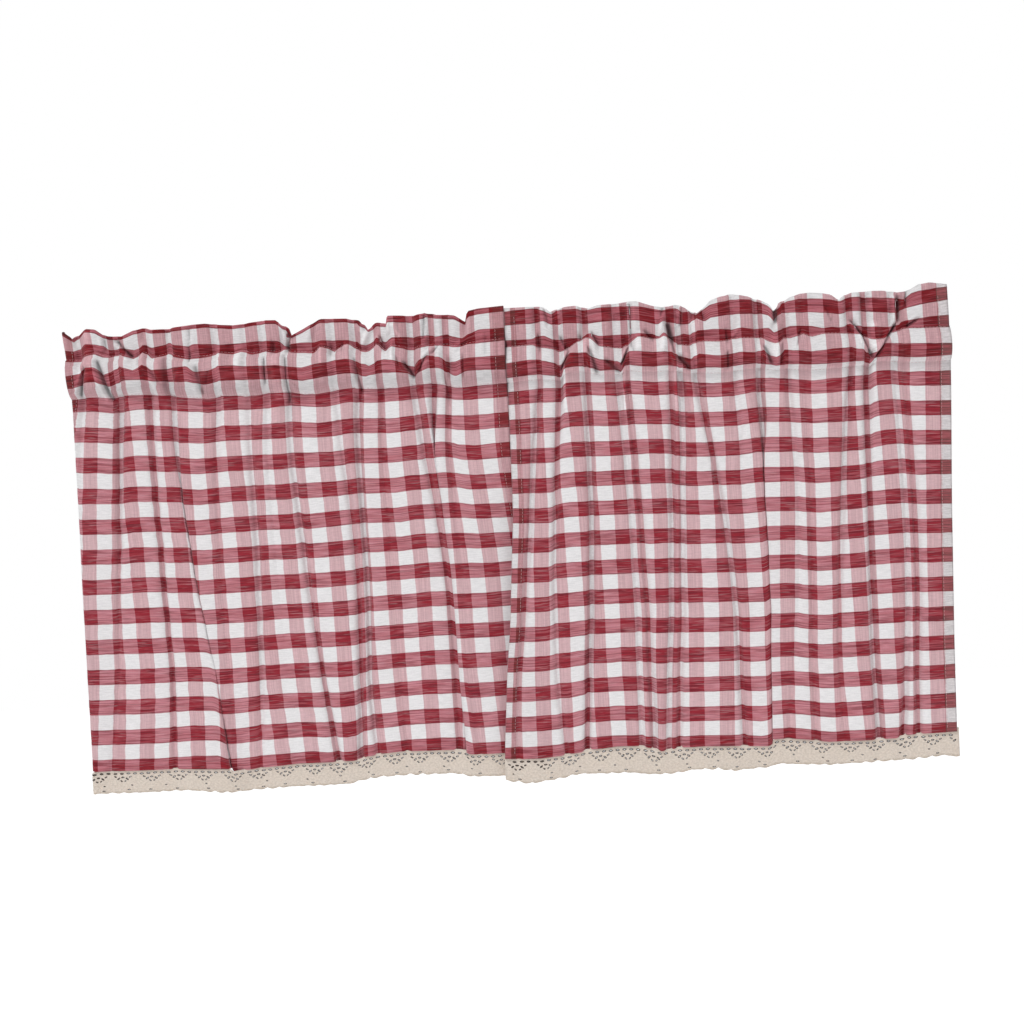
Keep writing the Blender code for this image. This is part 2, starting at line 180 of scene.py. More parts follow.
# Sections through the gathers of the heading, from the left edge to the right: how far along the panel each
# is, and how far down the upper edge of each check row stands there. The columns are the rows' flat places:
# edge, white, header red, upper seam, pocket red, pocket white, lower seam, row foot, next row
LEFT_COLUMNS = (-77.0, -73.0, -58.4, -43.8, -29.2, -14.6, 0.0, 14.6, 29.2)
LEFT_STATIONS = (
    (-426, 4.5, 8, 23, 33.5, 48, 60, 70.5, 83, 98),
    (-416, 12, 15.5, 24, 34.5, 47, 60, 70.5, 83, 98),
    (-408, 8, 11.5, 22, 34.8, 46.3, 57.5, 70, 83, 98),
    (-402, 3, 6.5, 17.5, 30, 40.5, 55, 69.2, 83, 98.5),
    (-393, 4, 7.5, 18.5, 28, 40.5, 54.5, 69.6, 84, 99.5),
    (-386, 9.5, 12.5, 20, 31.7, 48.5, 58, 70.3, 85, 100),
    (-381, 11, 14.5, 25, 32, 47, 60, 71.3, 86, 101),
    (-368, 12, 15, 23, 29.5, 40.5, 55, 69.2, 85, 99),
    (-356, 7, 10.5, 26, 34.5, 45.5, 54.6, 69.2, 83.3, 98.6),
    (-347, 5, 8.5, 21, 28.5, 40, 55, 69.5, 84, 98.7),
    (-338, 7, 10.5, 24.5, 35, 46, 57, 70, 84.6, 100),
    (-322, 7, 10.5, 20.3, 31.3, 45.5, 58, 71.8, 86, 102),
    (-303, 4.8, 8.5, 25, 38, 43.5, 59, 74.5, 88, 104),
    (-297, 4.2, 8, 23, 37.3, 50, 60.5, 75.3, 88.5, 104.5),
    (-286, 3.8, 7.5, 23.5, 36.7, 49.7, 62.5, 76.3, 90, 104.8),
    (-273, 5.6, 9, 24.7, 33, 45, 59.5, 74.2, 88.3, 103),
    (-258, 6.8, 10, 24.8, 35, 45.5, 59.8, 74.6, 88.5, 103.5),
    (-250, 6.2, 9.5, 24.5, 32.7, 46.5, 60, 75.8, 88.8, 103.8),
    (-240, 5, 8.5, 23.4, 36.5, 47, 60, 75.3, 89, 104),
    (-227, 3.6, 7, 23.4, 33.7, 47.3, 60.5, 73.7, 88.3, 103.4),
    (-216, 4, 7.5, 24, 36, 47.5, 61, 73.8, 87.5, 103),
    (-207, 11, 14, 30, 32.8, 49, 61.4, 74, 87, 102.5),
    (-203, 20, 22, 27.5, 36, 49.7, 61.7, 74.3, 87.3, 102.6),
    (-192, 15, 18, 26.7, 37, 51, 63.7, 76.6, 88.3, 104),
    (-180, 9, 12, 27.3, 38, 48.3, 62.3, 77, 89.6, 105),
    (-173, 5.2, 9, 26, 32, 47.6, 61, 76, 89.8, 104.4),
    (-160, 5.5, 9, 26.5, 38, 45.5, 59.5, 74.2, 88, 103),
    (-148, 6, 9.5, 27, 30.3, 44.8, 58.6, 72.7, 86.6, 102.1),
    (-138, 8, 11, 29, 36, 47.8, 60, 73.7, 87.3, 102.6),
    (-130, 13, 16, 33, 39.2, 51, 62.8, 74.5, 88, 103),
    (-127, 18, 20, 32, 38.7, 53, 61.8, 74.8, 88.2, 103.2),
    (-119, 11.3, 15, 25.7, 32, 48, 60, 75, 88.4, 103.5),
    (-111, 12.5, 15.5, 30.5, 39.5, 47, 60, 75, 88, 104),
    (-109, 13, 16, 30, 38.5, 47.3, 60, 75, 87.9, 104),
    (-107.5, 5.6, 11.6, 28.5, 37, 47.5, 60, 75, 87.8, 104),
    (-104, 5.4, 12, 26.3, 35, 48, 60, 75, 87.7, 104),
    (-90, 6.3, 13, 26.5, 39.2, 54, 61.4, 73.7, 87, 102.7),
    (-83, 6.7, 13.5, 27.5, 39.8, 56, 65.5, 72.9, 86.5, 102),
    (-71, 4.5, 8.5, 26, 36.8, 45, 57.6, 72.2, 85.8, 101.1),
    (-60, 7, 10.5, 27.8, 36.5, 47.2, 58, 73.6, 86.5, 103),
    (-50, 7.3, 11, 26, 37.5, 53, 63, 76, 88.3, 104),
    (-43, 8.3, 12, 29, 39, 53, 66.5, 77.5, 89.5, 104.5),
    (-36, 13, 16, 31, 38.3, 50, 63, 77.7, 90, 104.8),
    (-32, 16, 18.5, 28, 37, 50, 62, 77.4, 89.9, 105),
    (-30, 5, 10.5, 27, 36.9, 49.8, 62, 77.2, 89.8, 105),
    (-20, 3, 8.5, 23, 36.3, 49.4, 62, 76.5, 89.5, 104.6),
    (3, 1.5, 7, 22.5, 35, 49, 62.5, 75.5, 89, 103.5),
)
# edge, header red, white, gather red, upper seam, pocket red, pocket white, first row, row foot
RIGHT_COLUMNS = (-90.6, -87.6, -73.0, -58.4, -43.8, -29.2, -14.6, 0.0, 14.6)
RIGHT_STATIONS = (
    (5, 4, 7, 20.5, 35, 41.5, 57, 71, 84.5, 97),
    (30, 4, 5.5, 20, 35, 40.5, 54.5, 69, 83, 96),
    (37, 4, 5.5, 19.3, 32.5, 43.3, 54.8, 69, 82.5, 96.2),
    (43, 5, 8.5, 18, 32, 44.3, 56.5, 70, 82.6, 96.3),
    (50, 10, 12, 22, 36, 45.7, 58.5, 71, 82.8, 96.4),
    (57, 7.5, 8.3, 22, 36.8, 48.3, 61.5, 72.8, 83, 96.5),
    (61, 6.2, 8, 21.2, 36.5, 48, 57, 64, 78.5, 92),
    (67, 5.6, 8, 21.3, 36, 45, 50, 63.5, 78.2, 91.7),
    (74, 5.2, 8, 21.8, 36.3, 40, 50.2, 63, 78.3, 91.4),
    (79, 6.5, 9.6, 22.3, 37, 38.2, 50.3, 63.5, 78.5, 91.2),
    (83, 8, 9.7, 22.8, 33.5, 36, 50.5, 64, 78.6, 91),
    (87, 8.3, 9.2, 22.8, 32.2, 37, 54, 65.3, 79, 91.2),
    (95, 5.8, 8, 22, 35, 45, 57.7, 68.5, 79.6, 92.3),
    (108, 5.2, 8, 21.1, 35, 47.7, 59.5, 68, 79.8, 93.3),
    (115, 5, 8, 21.2, 35, 48, 62, 70.5, 79.5, 92.8),
    (118, 4.7, 8, 21.3, 35, 48, 57, 65, 79.3, 92.6),
    (124, 3.8, 8.2, 21.4, 35, 45.5, 51, 64, 79, 92),
    (133, 4, 8.8, 22.2, 34.4, 37.5, 51.5, 65.8, 80.3, 93.2),
    (147, 9, 11.5, 25.8, 36, 40.6, 53.4, 67, 82, 95),
    (153, 10.2, 12.7, 27, 39.4, 40.6, 53.2, 66.5, 81.9, 94.7),
    (157, 10.8, 13.6, 24, 35, 38.1, 53, 66.2, 81.8, 94.5),
    (164, 10.2, 12.2, 25.8, 40, 42, 54, 66.9, 81.6, 94.2),
    (170, 9, 12.6, 27, 38.8, 47.2, 57.5, 68.6, 82.2, 97),
    (177, 12, 17, 28.4, 37, 48.3, 60, 70.2, 83, 97.6),
    (182, 15, 15.7, 28, 38.8, 49, 62, 71.5, 83.7, 98),
    (190, 18.7, 20, 23, 34.8, 46.2, 57, 70.8, 84.5, 98.3),
    (197, 13.5, 14.5, 27, 34.5, 45.6, 58, 70.3, 85.2, 98.8),
    (203, 7, 11, 23, 34.2, 46.4, 59, 70.6, 85.8, 99),
    (212, 4, 9.3, 22.2, 34.4, 46.5, 59.8, 71.4, 85.6, 99),
    (222, 2, 7.8, 21.2, 35.8, 44.9, 58.3, 70.3, 85, 99),
    (232, 3.4, 7.1, 21.3, 34.2, 44.2, 57.4, 69.4, 83.7, 97.5),
    (242, 6, 8.3, 21.6, 36, 44.5, 58.5, 68.7, 82.7, 96.2),
    (252, 10, 11.5, 22, 36, 45.5, 56.5, 69.8, 83.2, 96.7),
    (258, 13, 15, 24, 36, 49.3, 62.5, 71, 83.6, 97.1),
    (263, 20, 20.5, 30, 40.5, 51, 64, 72, 84, 97.4),
    (267, 17, 18.5, 24.3, 38.6, 50.5, 62, 71.6, 84.3, 97.6),
    (271, 11.5, 12.8, 22, 37, 46.6, 57.2, 71.3, 84.6, 98),
    (278, 8, 11.2, 22.3, 35, 47, 58.2, 71.2, 85.5, 98.8),
    (290, 4.9, 10.2, 22.7, 35.3, 43, 59.5, 72, 87, 100),
    (298, 4.5, 10.4, 22.9, 36, 46.5, 60.3, 72.4, 87.8, 100.8),
    (309, 5.6, 10.8, 24, 38.7, 44, 59.6, 72.4, 87.4, 100.7),
    (318, 7.4, 12, 25, 38, 44.3, 58.7, 72.2, 86.7, 100.3),
    (325, 13, 13.8, 26, 39, 44.7, 58.4, 72.1, 86.3, 100),
    (335, 6.9, 10.7, 23.9, 36, 45.3, 58.1, 71.7, 85.7, 99.6),
    (346, 6.2, 11.2, 24.2, 39, 46.6, 61, 71.5, 85.3, 99.5),
    (353, 6, 12.3, 25, 39.5, 51.2, 66, 75, 85.1, 99.3),
    (358, 6, 12.7, 25.7, 39.9, 52, 64, 68.5, 82, 95.5),
    (366, 6.2, 13.3, 26.5, 40.4, 52, 56, 68.5, 81.6, 95.2),
    (373, 7.2, 13.8, 27.2, 40.8, 46.5, 56.3, 68.7, 82.1, 95.4),
    (382, 8.5, 15, 28, 39, 44.7, 57, 69.5, 83.5, 96.5),
    (388, 8, 15.8, 24, 35.6, 43, 57.4, 70, 84.1, 97.3),
    (394, 6, 10.5, 22.5, 34.8, 43.1, 57.6, 70.5, 84.3, 98),
    (401, 2, 8.5, 21, 33.9, 43.3, 57.9, 71, 84.4, 98.2),
    (412, 0.6, 7, 19.7, 32.8, 43.6, 58.4, 70.5, 84.7, 98.6),
    (428, 3, 5, 18, 32, 44, 59, 70, 85, 99),
)

# The upper edges of some check rows below the heading, as (along the panel, down). The last is the hem.
LEFT_ROWS = (
    RowLine(2 * CHECK_REPEAT, (
        (-420, 127), (-400, 128), (-385, 130), (-375, 130.5), (-368, 128.5), (-360, 128), (-345, 129.5),
        (-320, 131), (-300, 134), (-270, 133), (-240, 133), (-220, 133.5), (-208, 132.5), (-170, 133.5),
        (-150, 131), (-110, 132.5), (-80, 130), (-60, 129), (-50, 130.5), (-45, 132.5), (-30, 134),
        (0, 132.5),
    )),
    RowLine(4 * CHECK_REPEAT, (
        (-420, 187), (-400, 188.5), (-382, 189.5), (-376, 189), (-368, 188), (-345, 189), (-318, 190.5),
        (-315, 193), (-300, 194), (-270, 192.5), (-240, 192), (-215, 192.5), (-206, 191), (-198, 193),
        (-160, 191), (-140, 190), (-107, 191), (-92, 189), (-60, 188.5), (-45, 189), (-35, 191), (0, 191.5),
    )),
    RowLine(7 * CHECK_REPEAT, (
        (-423, 275), (-410, 276.5), (-395, 277.5), (-360, 277), (-320, 279.5), (-309, 280), (-306, 282.5),
        (-270, 282), (-230, 280.5), (-180, 280.5), (-151, 279), (-148, 277.5), (-110, 276), (-80, 274.5),
        (-63, 275), (-60, 277), (-20, 277.5), (0, 277),
    )),
    RowLine(8 * CHECK_REPEAT, (
        (-423, 306), (-400, 307), (-340, 308), (-315, 309), (-305, 310), (-302, 312), (-260, 311),
        (-220, 309.5), (-165, 309.5), (-150, 308.5), (-145, 307), (-100, 305), (-80, 303.5), (-62, 304),
        (-57, 306), (-20, 307), (0, 306.5),
    )),
    RowLine(11 * CHECK_REPEAT, (
        (-421, 395.5), (-380, 397), (-340, 396.5), (-320, 395.5), (-296, 396.5), (-291, 401), (-280, 401.5),
        (-255, 398.5), (-215, 397.5), (-185, 399), (-170, 399.5), (-160, 398), (-150, 394.5), (-120, 391.5),
        (-90, 389.5), (-70, 390), (-55, 391), (-49, 393), (-45, 395), (0, 394),
    )),
    RowLine(12 * CHECK_REPEAT, (
        (-421, 425.5), (-365, 426.5), (-340, 427), (-320, 425.5), (-297, 426), (-288, 431), (-275, 431.5),
        (-250, 429), (-220, 428), (-205, 427), (-190, 429), (-170, 429.5), (-160, 428), (-154, 424),
        (-120, 420.5), (-80, 418.5), (-60, 419.5), (-50, 422), (-46, 425), (0, 425),
    )),
    RowLine(12 * CHECK_REPEAT + 12.9, (
        (-420, 437.5), (-340, 438), (-292, 440), (-284, 444), (-270, 443), (-250, 441), (-220, 439),
        (-160, 438), (-152, 434.5), (-120, 431), (-80, 431), (-52, 433), (-44, 436), (0, 436.5),
    )),
)
RIGHT_ROWS = (
    RowLine(2 * CHECK_REPEAT, (
        (5, 140), (48, 140), (52, 138.5), (56, 136.5), (65, 135.5), (100, 136.5), (140, 136), (159, 137.5),
        (164, 139.5), (190, 142), (225, 142), (240, 140), (255, 140), (285, 142), (325, 143.5), (352, 142),
        (356, 140), (365, 138.5), (375, 138), (390, 140), (428, 141.5),
    )),
    RowLine(4 * CHECK_REPEAT, (
        (5, 197), (25, 198), (41, 198), (46, 196), (50, 194.5), (60, 193.5), (120, 193.5), (150, 194),
        (161, 195), (168, 196.5), (190, 197.5), (230, 198.5), (245, 197), (265, 198), (300, 201),
        (320, 200), (340, 198.5), (360, 196), (375, 195.5), (390, 197), (425, 198),
    )),
    RowLine(7 * CHECK_REPEAT, (
        (0, 284), (34, 284), (42, 281.5), (75, 280), (95, 279.5), (140, 281), (180, 282), (220, 284.5),
        (245, 284.5), (249, 281.5), (265, 281.5), (280, 283.5), (300, 285.5), (325, 284.5), (355, 282),
        (375, 281.5), (422, 282),
    )),
    RowLine(8 * CHECK_REPEAT, (
        (-4, 312.5), (31, 313), (38, 311.5), (65, 309), (90, 308.5), (120, 308.5), (180, 311), (230, 313.5),
        (245, 313), (249, 310), (270, 310.5), (285, 313), (300, 314), (340, 312), (365, 310), (422, 311),
    )),
    RowLine(11 * CHECK_REPEAT, (
        (-12, 400.5), (20, 400), (50, 399), (60, 397), (70, 395), (100, 393.5), (115, 394.5), (128, 396.5),
        (145, 399), (155, 397.5), (200, 398), (235, 400.5), (243, 400), (247, 396), (260, 395), (275, 396),
        (290, 398.5), (305, 400), (350, 398.5), (368, 399), (374, 397), (400, 395.5), (420, 395),
    )),
    RowLine(12 * CHECK_REPEAT, (
        (-15, 430), (20, 430), (50, 428), (62, 425), (75, 423.5), (90, 422.5), (120, 424.5), (132, 427),
        (140, 428.5), (155, 427), (175, 426), (220, 428), (235, 430), (242, 429), (246, 424), (262, 422.5),
        (275, 424), (290, 427), (305, 428.5), (350, 427), (368, 426.5), (374, 424.5), (420, 424),
    )),
    RowLine(12 * CHECK_REPEAT + 12.4, (
        (-15, 441), (20, 442), (40, 440.5), (60, 438), (80, 435), (95, 433.5), (112, 434), (128, 437),
        (138, 440), (150, 438.5), (180, 437), (220, 439), (241, 440), (247, 434), (262, 433), (280, 435),
        (300, 438), (330, 438), (366, 437), (374, 434.5), (422, 433),
    )),
)

# How far the lace edge hangs below the top line
LEFT_LACE = (
    (-424, 460.5), (-330, 460), (-290, 464), (-270, 464), (-230, 462), (-170, 461.5), (-156, 458),
    (-140, 456), (-110, 455), (-65, 455), (-50, 458), (0, 460),
)
RIGHT_LACE = (
    (-15, 463), (8, 467), (40, 463), (55, 460), (105, 460), (125, 463), (150, 463), (170, 460),
    (195, 460.5), (205, 463), (243, 461), (249, 458), (300, 461), (380, 459), (410, 456), (422, 458),
)

LEFT_CREASES = tuple(Crease(*places) for places in (
    (-403, 40, -411, 68, 2.2, -5), (-392, 34, -380, 73, 2.4, -6), (-399, 4, -399, 40, 7, 4),
    (-398, 42, -399, 62, 6, 3), (-385, 13, -384, 26, 2, -3), (-374, 16, -358, 33, 2.2, -4.5),
    (-347, 18, -346, 44, 3, 3, 1), (-352, 30, -350, 42, 2, -2), (-340, 46, -330, 62, 3.5, -3),
    (-326, 34, -325, 72, 4, -3), (-309, 43, -317, 64, 1.5, 2.5, -1), (-317, 64, -316, 112, 1.4, 2, -1),
    (-302, 9, -302, 40, 1.3, -4.5), (-298, 10, -299, 36, 2, 1.5, -1), (-296, 44, -290, 72, 3, -3.5),
    (-283, 48, -287, 64, 1.6, -2), (-273, 28, -272, 46, 3, 2.5), (-262, 24, -263, 40, 2, -1.5),
    (-254, 28, -254, 50, 4, 2.5), (-229, 40, -229, 64, 1.4, -4), (-220, 24, -220, 38, 2.8, -2.5),
    (-217, 36, -216, 80, 7, 5), (-213, 6, -206, 26, 2.4, 3, 1), (-209, 40, -208, 84, 1.6, -4.5),
    (-205, 17, -206, 36, 2, -4.5), (-208, 58, -197, 74, 1.8, 2.5, 1), (-178, 8, -182, 28, 3, -2),
    (-173, 28, -172, 50, 4, 3), (-165, 30, -164, 42, 2.5, -2.5), (-153, 28, -151, 44, 1.4, -3),
    (-149, 26, -149, 46, 3, 3.5, -1), (-142, 44, -136, 78, 2, -3.6), (-139, 8, -128, 20, 2, -2),
    (-127, 18, -134, 32, 3.5, 4), (-119, 24, -119, 34, 2.2, 2), (-116, 25, -112, 38, 1.8, -4),
    (-108, 4, -108, 22, 3, 3, -1), (-102, 12, -94, 30, 3, 4, 1), (-104, 32, -104, 50, 3, 2.5, 1),
    (-101, 44, -98, 54, 1.4, -3), (-94, 50, -84, 66, 2, -5), (-73, 6, -74, 28, 1.4, -4),
    (-71, 44, -79, 60, 1.6, -4), (-62, 32, -73, 45, 1.8, 3.5), (-59, 36, -66, 44, 1.4, -3),
    (-57, 44, -53, 90, 1.3, -2.6), (-50, 48, -50, 68, 3, -2), (-36, 46, -37, 68, 1.6, -3),
    (-31, 3, -31, 30, 4, 4, -1), (-33, 30, -45, 41, 2.5, 3), (-14, 28, -14, 48, 2, -1.5),
))
RIGHT_CREASES = tuple(Crease(*places) for places in (
    (37, 30, 38, 48, 1.8, -3), (43, 6, 47, 22, 2, -2.5), (55, 10, 56, 26, 2, 2), (58, 34, 65, 49, 2, -4),
    (66, 49, 58, 65, 1.5, -4.5), (60, 64, 60, 112, 4, 3, -1), (70, 50, 68, 64, 5, 3),
    (76, 34, 79, 40, 2, -3), (83, 34, 82, 52, 3.5, 3.5, 1), (88, 31, 94, 44, 1.8, -4),
    (85, 46, 92, 70, 2.6, -5), (100, 58, 114, 70, 3, -3.5), (124, 46, 116, 63, 1.4, -5),
    (117.5, 62, 117, 112, 4, 3, -1), (126, 6, 126, 38, 1.4, -4), (129, 8, 129, 34, 3, 2.5, -1),
    (125, 38, 128, 52, 1.5, -3.5), (133, 35, 133, 50, 4, 3.5), (139, 32, 147, 43, 2, -4),
    (158, 9, 153, 27, 1.4, -3), (155, 20, 153, 40, 2.4, 3.5), (161, 26, 165, 46, 2.8, -7),
    (165, 44, 167, 58, 1.4, -4), (155, 40, 156, 52, 4, 3), (167, 56, 168, 112, 5, 3.5, 1),
    (176, 9, 174, 30, 1.3, -3), (188, 24, 188, 42, 7, 3.5), (170, 58, 181, 71, 3, -4.5),
    (186, 42, 187, 62, 2.4, 2.5), (193, 16, 197, 26, 2, -3), (216, 34, 218, 48, 1.6, -3.5),
    (217, 56, 217, 72, 2, -4), (229, 34, 222, 44, 1.8, 2.5), (264, 12, 265, 32, 2.4, -6),
    (265, 30, 265, 42, 2.4, 2.5), (252, 52, 259, 70, 2.4, -5), (270, 50, 268, 70, 2.4, -4),
    (263, 44, 263, 66, 4.5, 4.5), (288, 38, 284, 54, 1.5, -2.5), (312, 18, 318, 34, 1.6, -2.5),
    (336, 32, 346, 47, 1.8, -5), (346, 46, 355, 69, 1.8, -6), (379, 38, 357, 69, 1.6, -5),
    (358, 36, 356, 62, 9, 5), (356.5, 70, 356.5, 112, 3, 2.5, -1), (381, 12, 381, 36, 2.2, -5.5),
    (390, 6, 388, 24, 1.4, -3), (400, 34, 388, 41, 1.8, -4),
))

LEFT_PANEL = Panel(
    side="left",
    flat_width=624.0,
    first_repeat=25.6,
    meeting_edge="right",
    upper_seam=-46.0,
    lower_seam=-0.6,
    hem_greys=(0.08, 0.1),
    under_shade=1.0,
    folds=(
        Fold(0.80, 0.80, 0.80, 9, 0, 0, 5),
        Fold(2.70, 2.38, 2.00, 27, 8, 2, 4),
        Fold(4.45, 4.30, 4.30, 14, 12, 6, 5),
        Fold(5.75, 6.03, 7.00, 15, 22, 30, 3),
        Fold(7.70, 7.30, 7.60, 9, 3, 2, 6),
        Fold(8.95, 8.85, 8.40, 5, 12, 3, 6),
        Fold(9.75, 9.75, 9.75, 8, 1, 0, 5),
        Fold(10.85, 11.00, 11.45, 14, 11, 17, 5),
        Fold(12.80, 13.10, 12.90, 7, 11, 18, 5),
        Fold(14.00, 13.85, 14.00, 19, 19, 10, 4),
        Fold(15.25, 15.25, 15.25, 10, 1, 4, 5),
        Fold(16.85, 17.20, 17.25, 18, 7, 8, 5),
        Fold(18.20, 17.90, 18.00, 20, 42, 34, 3),
        Fold(19.25, 19.25, 19.25, 15, 1, 2, 5),
    ),
    edges=(
        Edge(0, -427.5, 5.0, 2, 0),
        Edge(40, -423.5, 5.0, 3, 0),
        Edge(73, -420.5, 5.0, 4, 0),
        Edge(138, -421.0, 5.0, 16, 0),
        Edge(204, -421.5, 12.0, 22, 9),
        Edge(255, -422.5, 17.0, 26, 12),
        Edge(345, -423.0, 19.0, 28, 12),
        Edge(437, -423.5, 25.0, 36, 12),
        Edge(470, -424.0, 26.0, 37, 12),
    ),
    columns=LEFT_COLUMNS,
    stations=LEFT_STATIONS,
    rows=LEFT_ROWS,
    lace=LEFT_LACE,
    creases=LEFT_CREASES,
)
RIGHT_PANEL = Panel(
    side="right",
    flat_width=644.0,
    first_repeat=6.0,
    meeting_edge="left",
    upper_seam=-45.0,
    lower_seam=-10.0,
    hem_greys=(0.16, 0.34),
    under_shade=0.45,
    folds=(
        Fold(2.15, 1.50, 1.30, 16, 13, 4, 4),
        Fold(3.50, 2.90, 3.10, 20, 11, 8, 4),
        Fold(5.05, 4.75, 4.30, 18, 21, 19, 4),
        Fold(6.75, 6.80, 6.70, 12, 9, 11, 4),
        Fold(7.20, 7.30, 7.60, 11, 13, 19, 4),
        Fold(9.20, 8.90, 8.75, 11, 14, 14, 4),
        Fold(9.75, 9.60, 9.45, 16, 13, 11, 4),
        Fold(10.90, 11.75, 12.10, 15, 14, 11, 4),
        Fold(12.60, 12.60, 12.60, 8, 0, 0, 5),
        Fold(13.95, 13.85, 13.85, 22, 40, 44, 3),
        Fold(15.45, 15.70, 15.20, 11, 3, 3, 5),
        Fold(16.25, 16.25, 16.25, 3, 6, 5, 6),
        Fold(18.10, 17.50, 17.30, 16, 11, 2, 4),
        Fold(19.30, 19.05, 18.90, 22, 18, 22, 4),
        Fold(20.85, 20.80, 20.40, 9, 9, 16, 4),
        Fold(21.25, 21.30, 21.40, 4, 14, 11, 4),
    ),
    edges=(
        Edge(0, 5.2, 428.0, 0, 0),
        Edge(60, 5.2, 430.0, 0, 0),
        Edge(120, 5.2, 428.5, 0, 0),
        Edge(204, 4.5, 426.0, 0, -2),
        Edge(260, 0.0, 425.0, 0, -4),
        Edge(317, -4.0, 424.0, 0, -4),
        Edge(345, -8.0, 423.5, 0, -4),
        Edge(431, -15.0, 423.0, 0, -4),
        Edge(465, -17.0, 423.0, 0, -4),
    ),
    columns=RIGHT_COLUMNS,
    stations=RIGHT_STATIONS,
    rows=RIGHT_ROWS,
    lace=RIGHT_LACE,
    creases=RIGHT_CREASES,
)
PANELS = (LEFT_PANEL, RIGHT_PANEL)


# ------------------------------------------------------------ the hanging line of the cloth, seen from above


def smooth_step(values):
    """Values eased from 0 to 1."""
    values = np.clip(values, 0, 1)
    return values * values * (3 - 2 * values)


def through_three(head, middle, hem, level):
    """The quadratic through a value at the head, half way down and at the hem."""
    u = min(max((level - HEAD_LEVEL) / (HEM_LEVEL - HEAD_LEVEL), 0.0), BELOW_HEM)
    return head * (1 - u) * (1 - 2 * u) + 4 * middle * u * (1 - u) + hem * u * (2 * u - 1)


def eased(level, rows, column):
    """A column of the edge table at a level, with its corners rounded."""
    levels = [row.level for row in rows]
    values = [getattr(row, column) for row in rows]
    near = np.clip(level + CORNER_ROUNDING, levels[0], levels[-1])
    return float(np.interp(near, levels, values).mean())


@functools.cache
def folds_at(panel, level):
    """Each fold at a level: its middle, the cloth in it before and after, its sides' slope and its tilt."""
    middles = [through_three(fold.at_head, fold.at_mid, fold.at_hem, level) for fold in panel.folds]
    middles = [panel.first_repeat + CHECK_REPEAT * (middle - 1) for middle in middles]
    bounds = [0.0, *middles, panel.flat_width]
    found = []
    for i, fold in enumerate(panel.folds):
        middle = bounds[i + 1]
        room_before, room_after = (middle - bounds[i]) / 2, (bounds[i + 2] - middle) / 2
        takes = max(through_three(fold.takes_head, fold.takes_mid, fold.takes_hem, level), 0.0)
        opening = fold.opens + OPENING_SHARE * takes
        closing = 0.0
        if fold.opens <= CLOSED_BELOW:
            closing = float(smooth_step((level - CLOSING[0]) / (CLOSING[1] - CLOSING[0])))
            opening += (CLOSED_OPENING - opening) * closing
        length = takes + opening
        before = min(length / 2, room_before)
        after = min(length - before, room_after)
        before = min(length - after, room_before)
        grown = max(1.0, (takes + CLOSED_OPENING) / (before + after))
        before, after = before * grown, after * grown
        tilt = CLOSED_TILT * min(takes / FULL_TILT, 1) * closing
        found.append((middle, before, after, math.acos(1 - takes / (before + after)), tilt))
    return found


def cloth_places(panel, level):
    """Places along the cloth for one row of the mesh, which follow the folds and stand closer in them."""
    folds = folds_at(panel, level)
    middles = [0.0, *[fold[0] for fold in folds], panel.flat_width]
    columns = gap_counts(panel)
    near_lips = (1 - np.cos(math.pi * np.arange(FOLD_COLUMNS) / FOLD_COLUMNS)) / 2
    places, last = [], 0.0
    for i, (middle, before, after, _, _) in enumerate(folds):
        low = middle - min(before + FOLD_LIP, LIP_ROOM * (middle - middles[i]))
        high = middle + min(after + FOLD_LIP, LIP_ROOM * (middles[i + 2] - middle))
        places += [np.linspace(last, low, columns[i], endpoint=False)]
        places += [low + (middle - low) * near_lips, middle + (high - middle) * near_lips]
        last = high
    places.append(np.linspace(last, panel.flat_width, columns[-1] + 1))
    return np.concatenate(places)


@functools.cache
def gap_counts(panel):
    """How many columns the widest gap before each fold, and after the last one, is given."""
    counts = []
    for i in range(len(panel.folds) + 1):
        widest = 0.0
        for level in (HEAD_LEVEL, (HEAD_LEVEL + HEM_LEVEL) / 2, HEM_LEVEL):
            folds = folds_at(panel, level)
            low = folds[i - 1][0] + folds[i - 1][2] if i else 0.0
            high = folds[i][0] - folds[i][1] if i < len(folds) else panel.flat_width
            widest = max(widest, high - low - 2 * FOLD_LIP)
        counts.append(max(2, round(widest / COLUMN_STEP)))
    return counts


def softened(values, softness=FOLD_SOFTNESS):
    """Values at every millimetre, spread as far as the cloth needs to bend."""
    reach = int(3 * softness) + 1
    weights = np.exp(-0.5 * (np.arange(-reach, reach + 1) / softness) ** 2)
    return np.convolve(np.pad(values, reach, mode="edge"), weights / weights.sum(), mode="valid")


def band_of(panel, along, level):
    """Which band between two folds each place is in, as a number that is whole at the middle of a fold."""
    middles = [eased(level, panel.edges, "turned_back")]
    middles += [fold[0] for fold in folds_at(panel, level)]
    return np.interp(along, middles + [panel.flat_width], np.arange(len(middles) + 1))


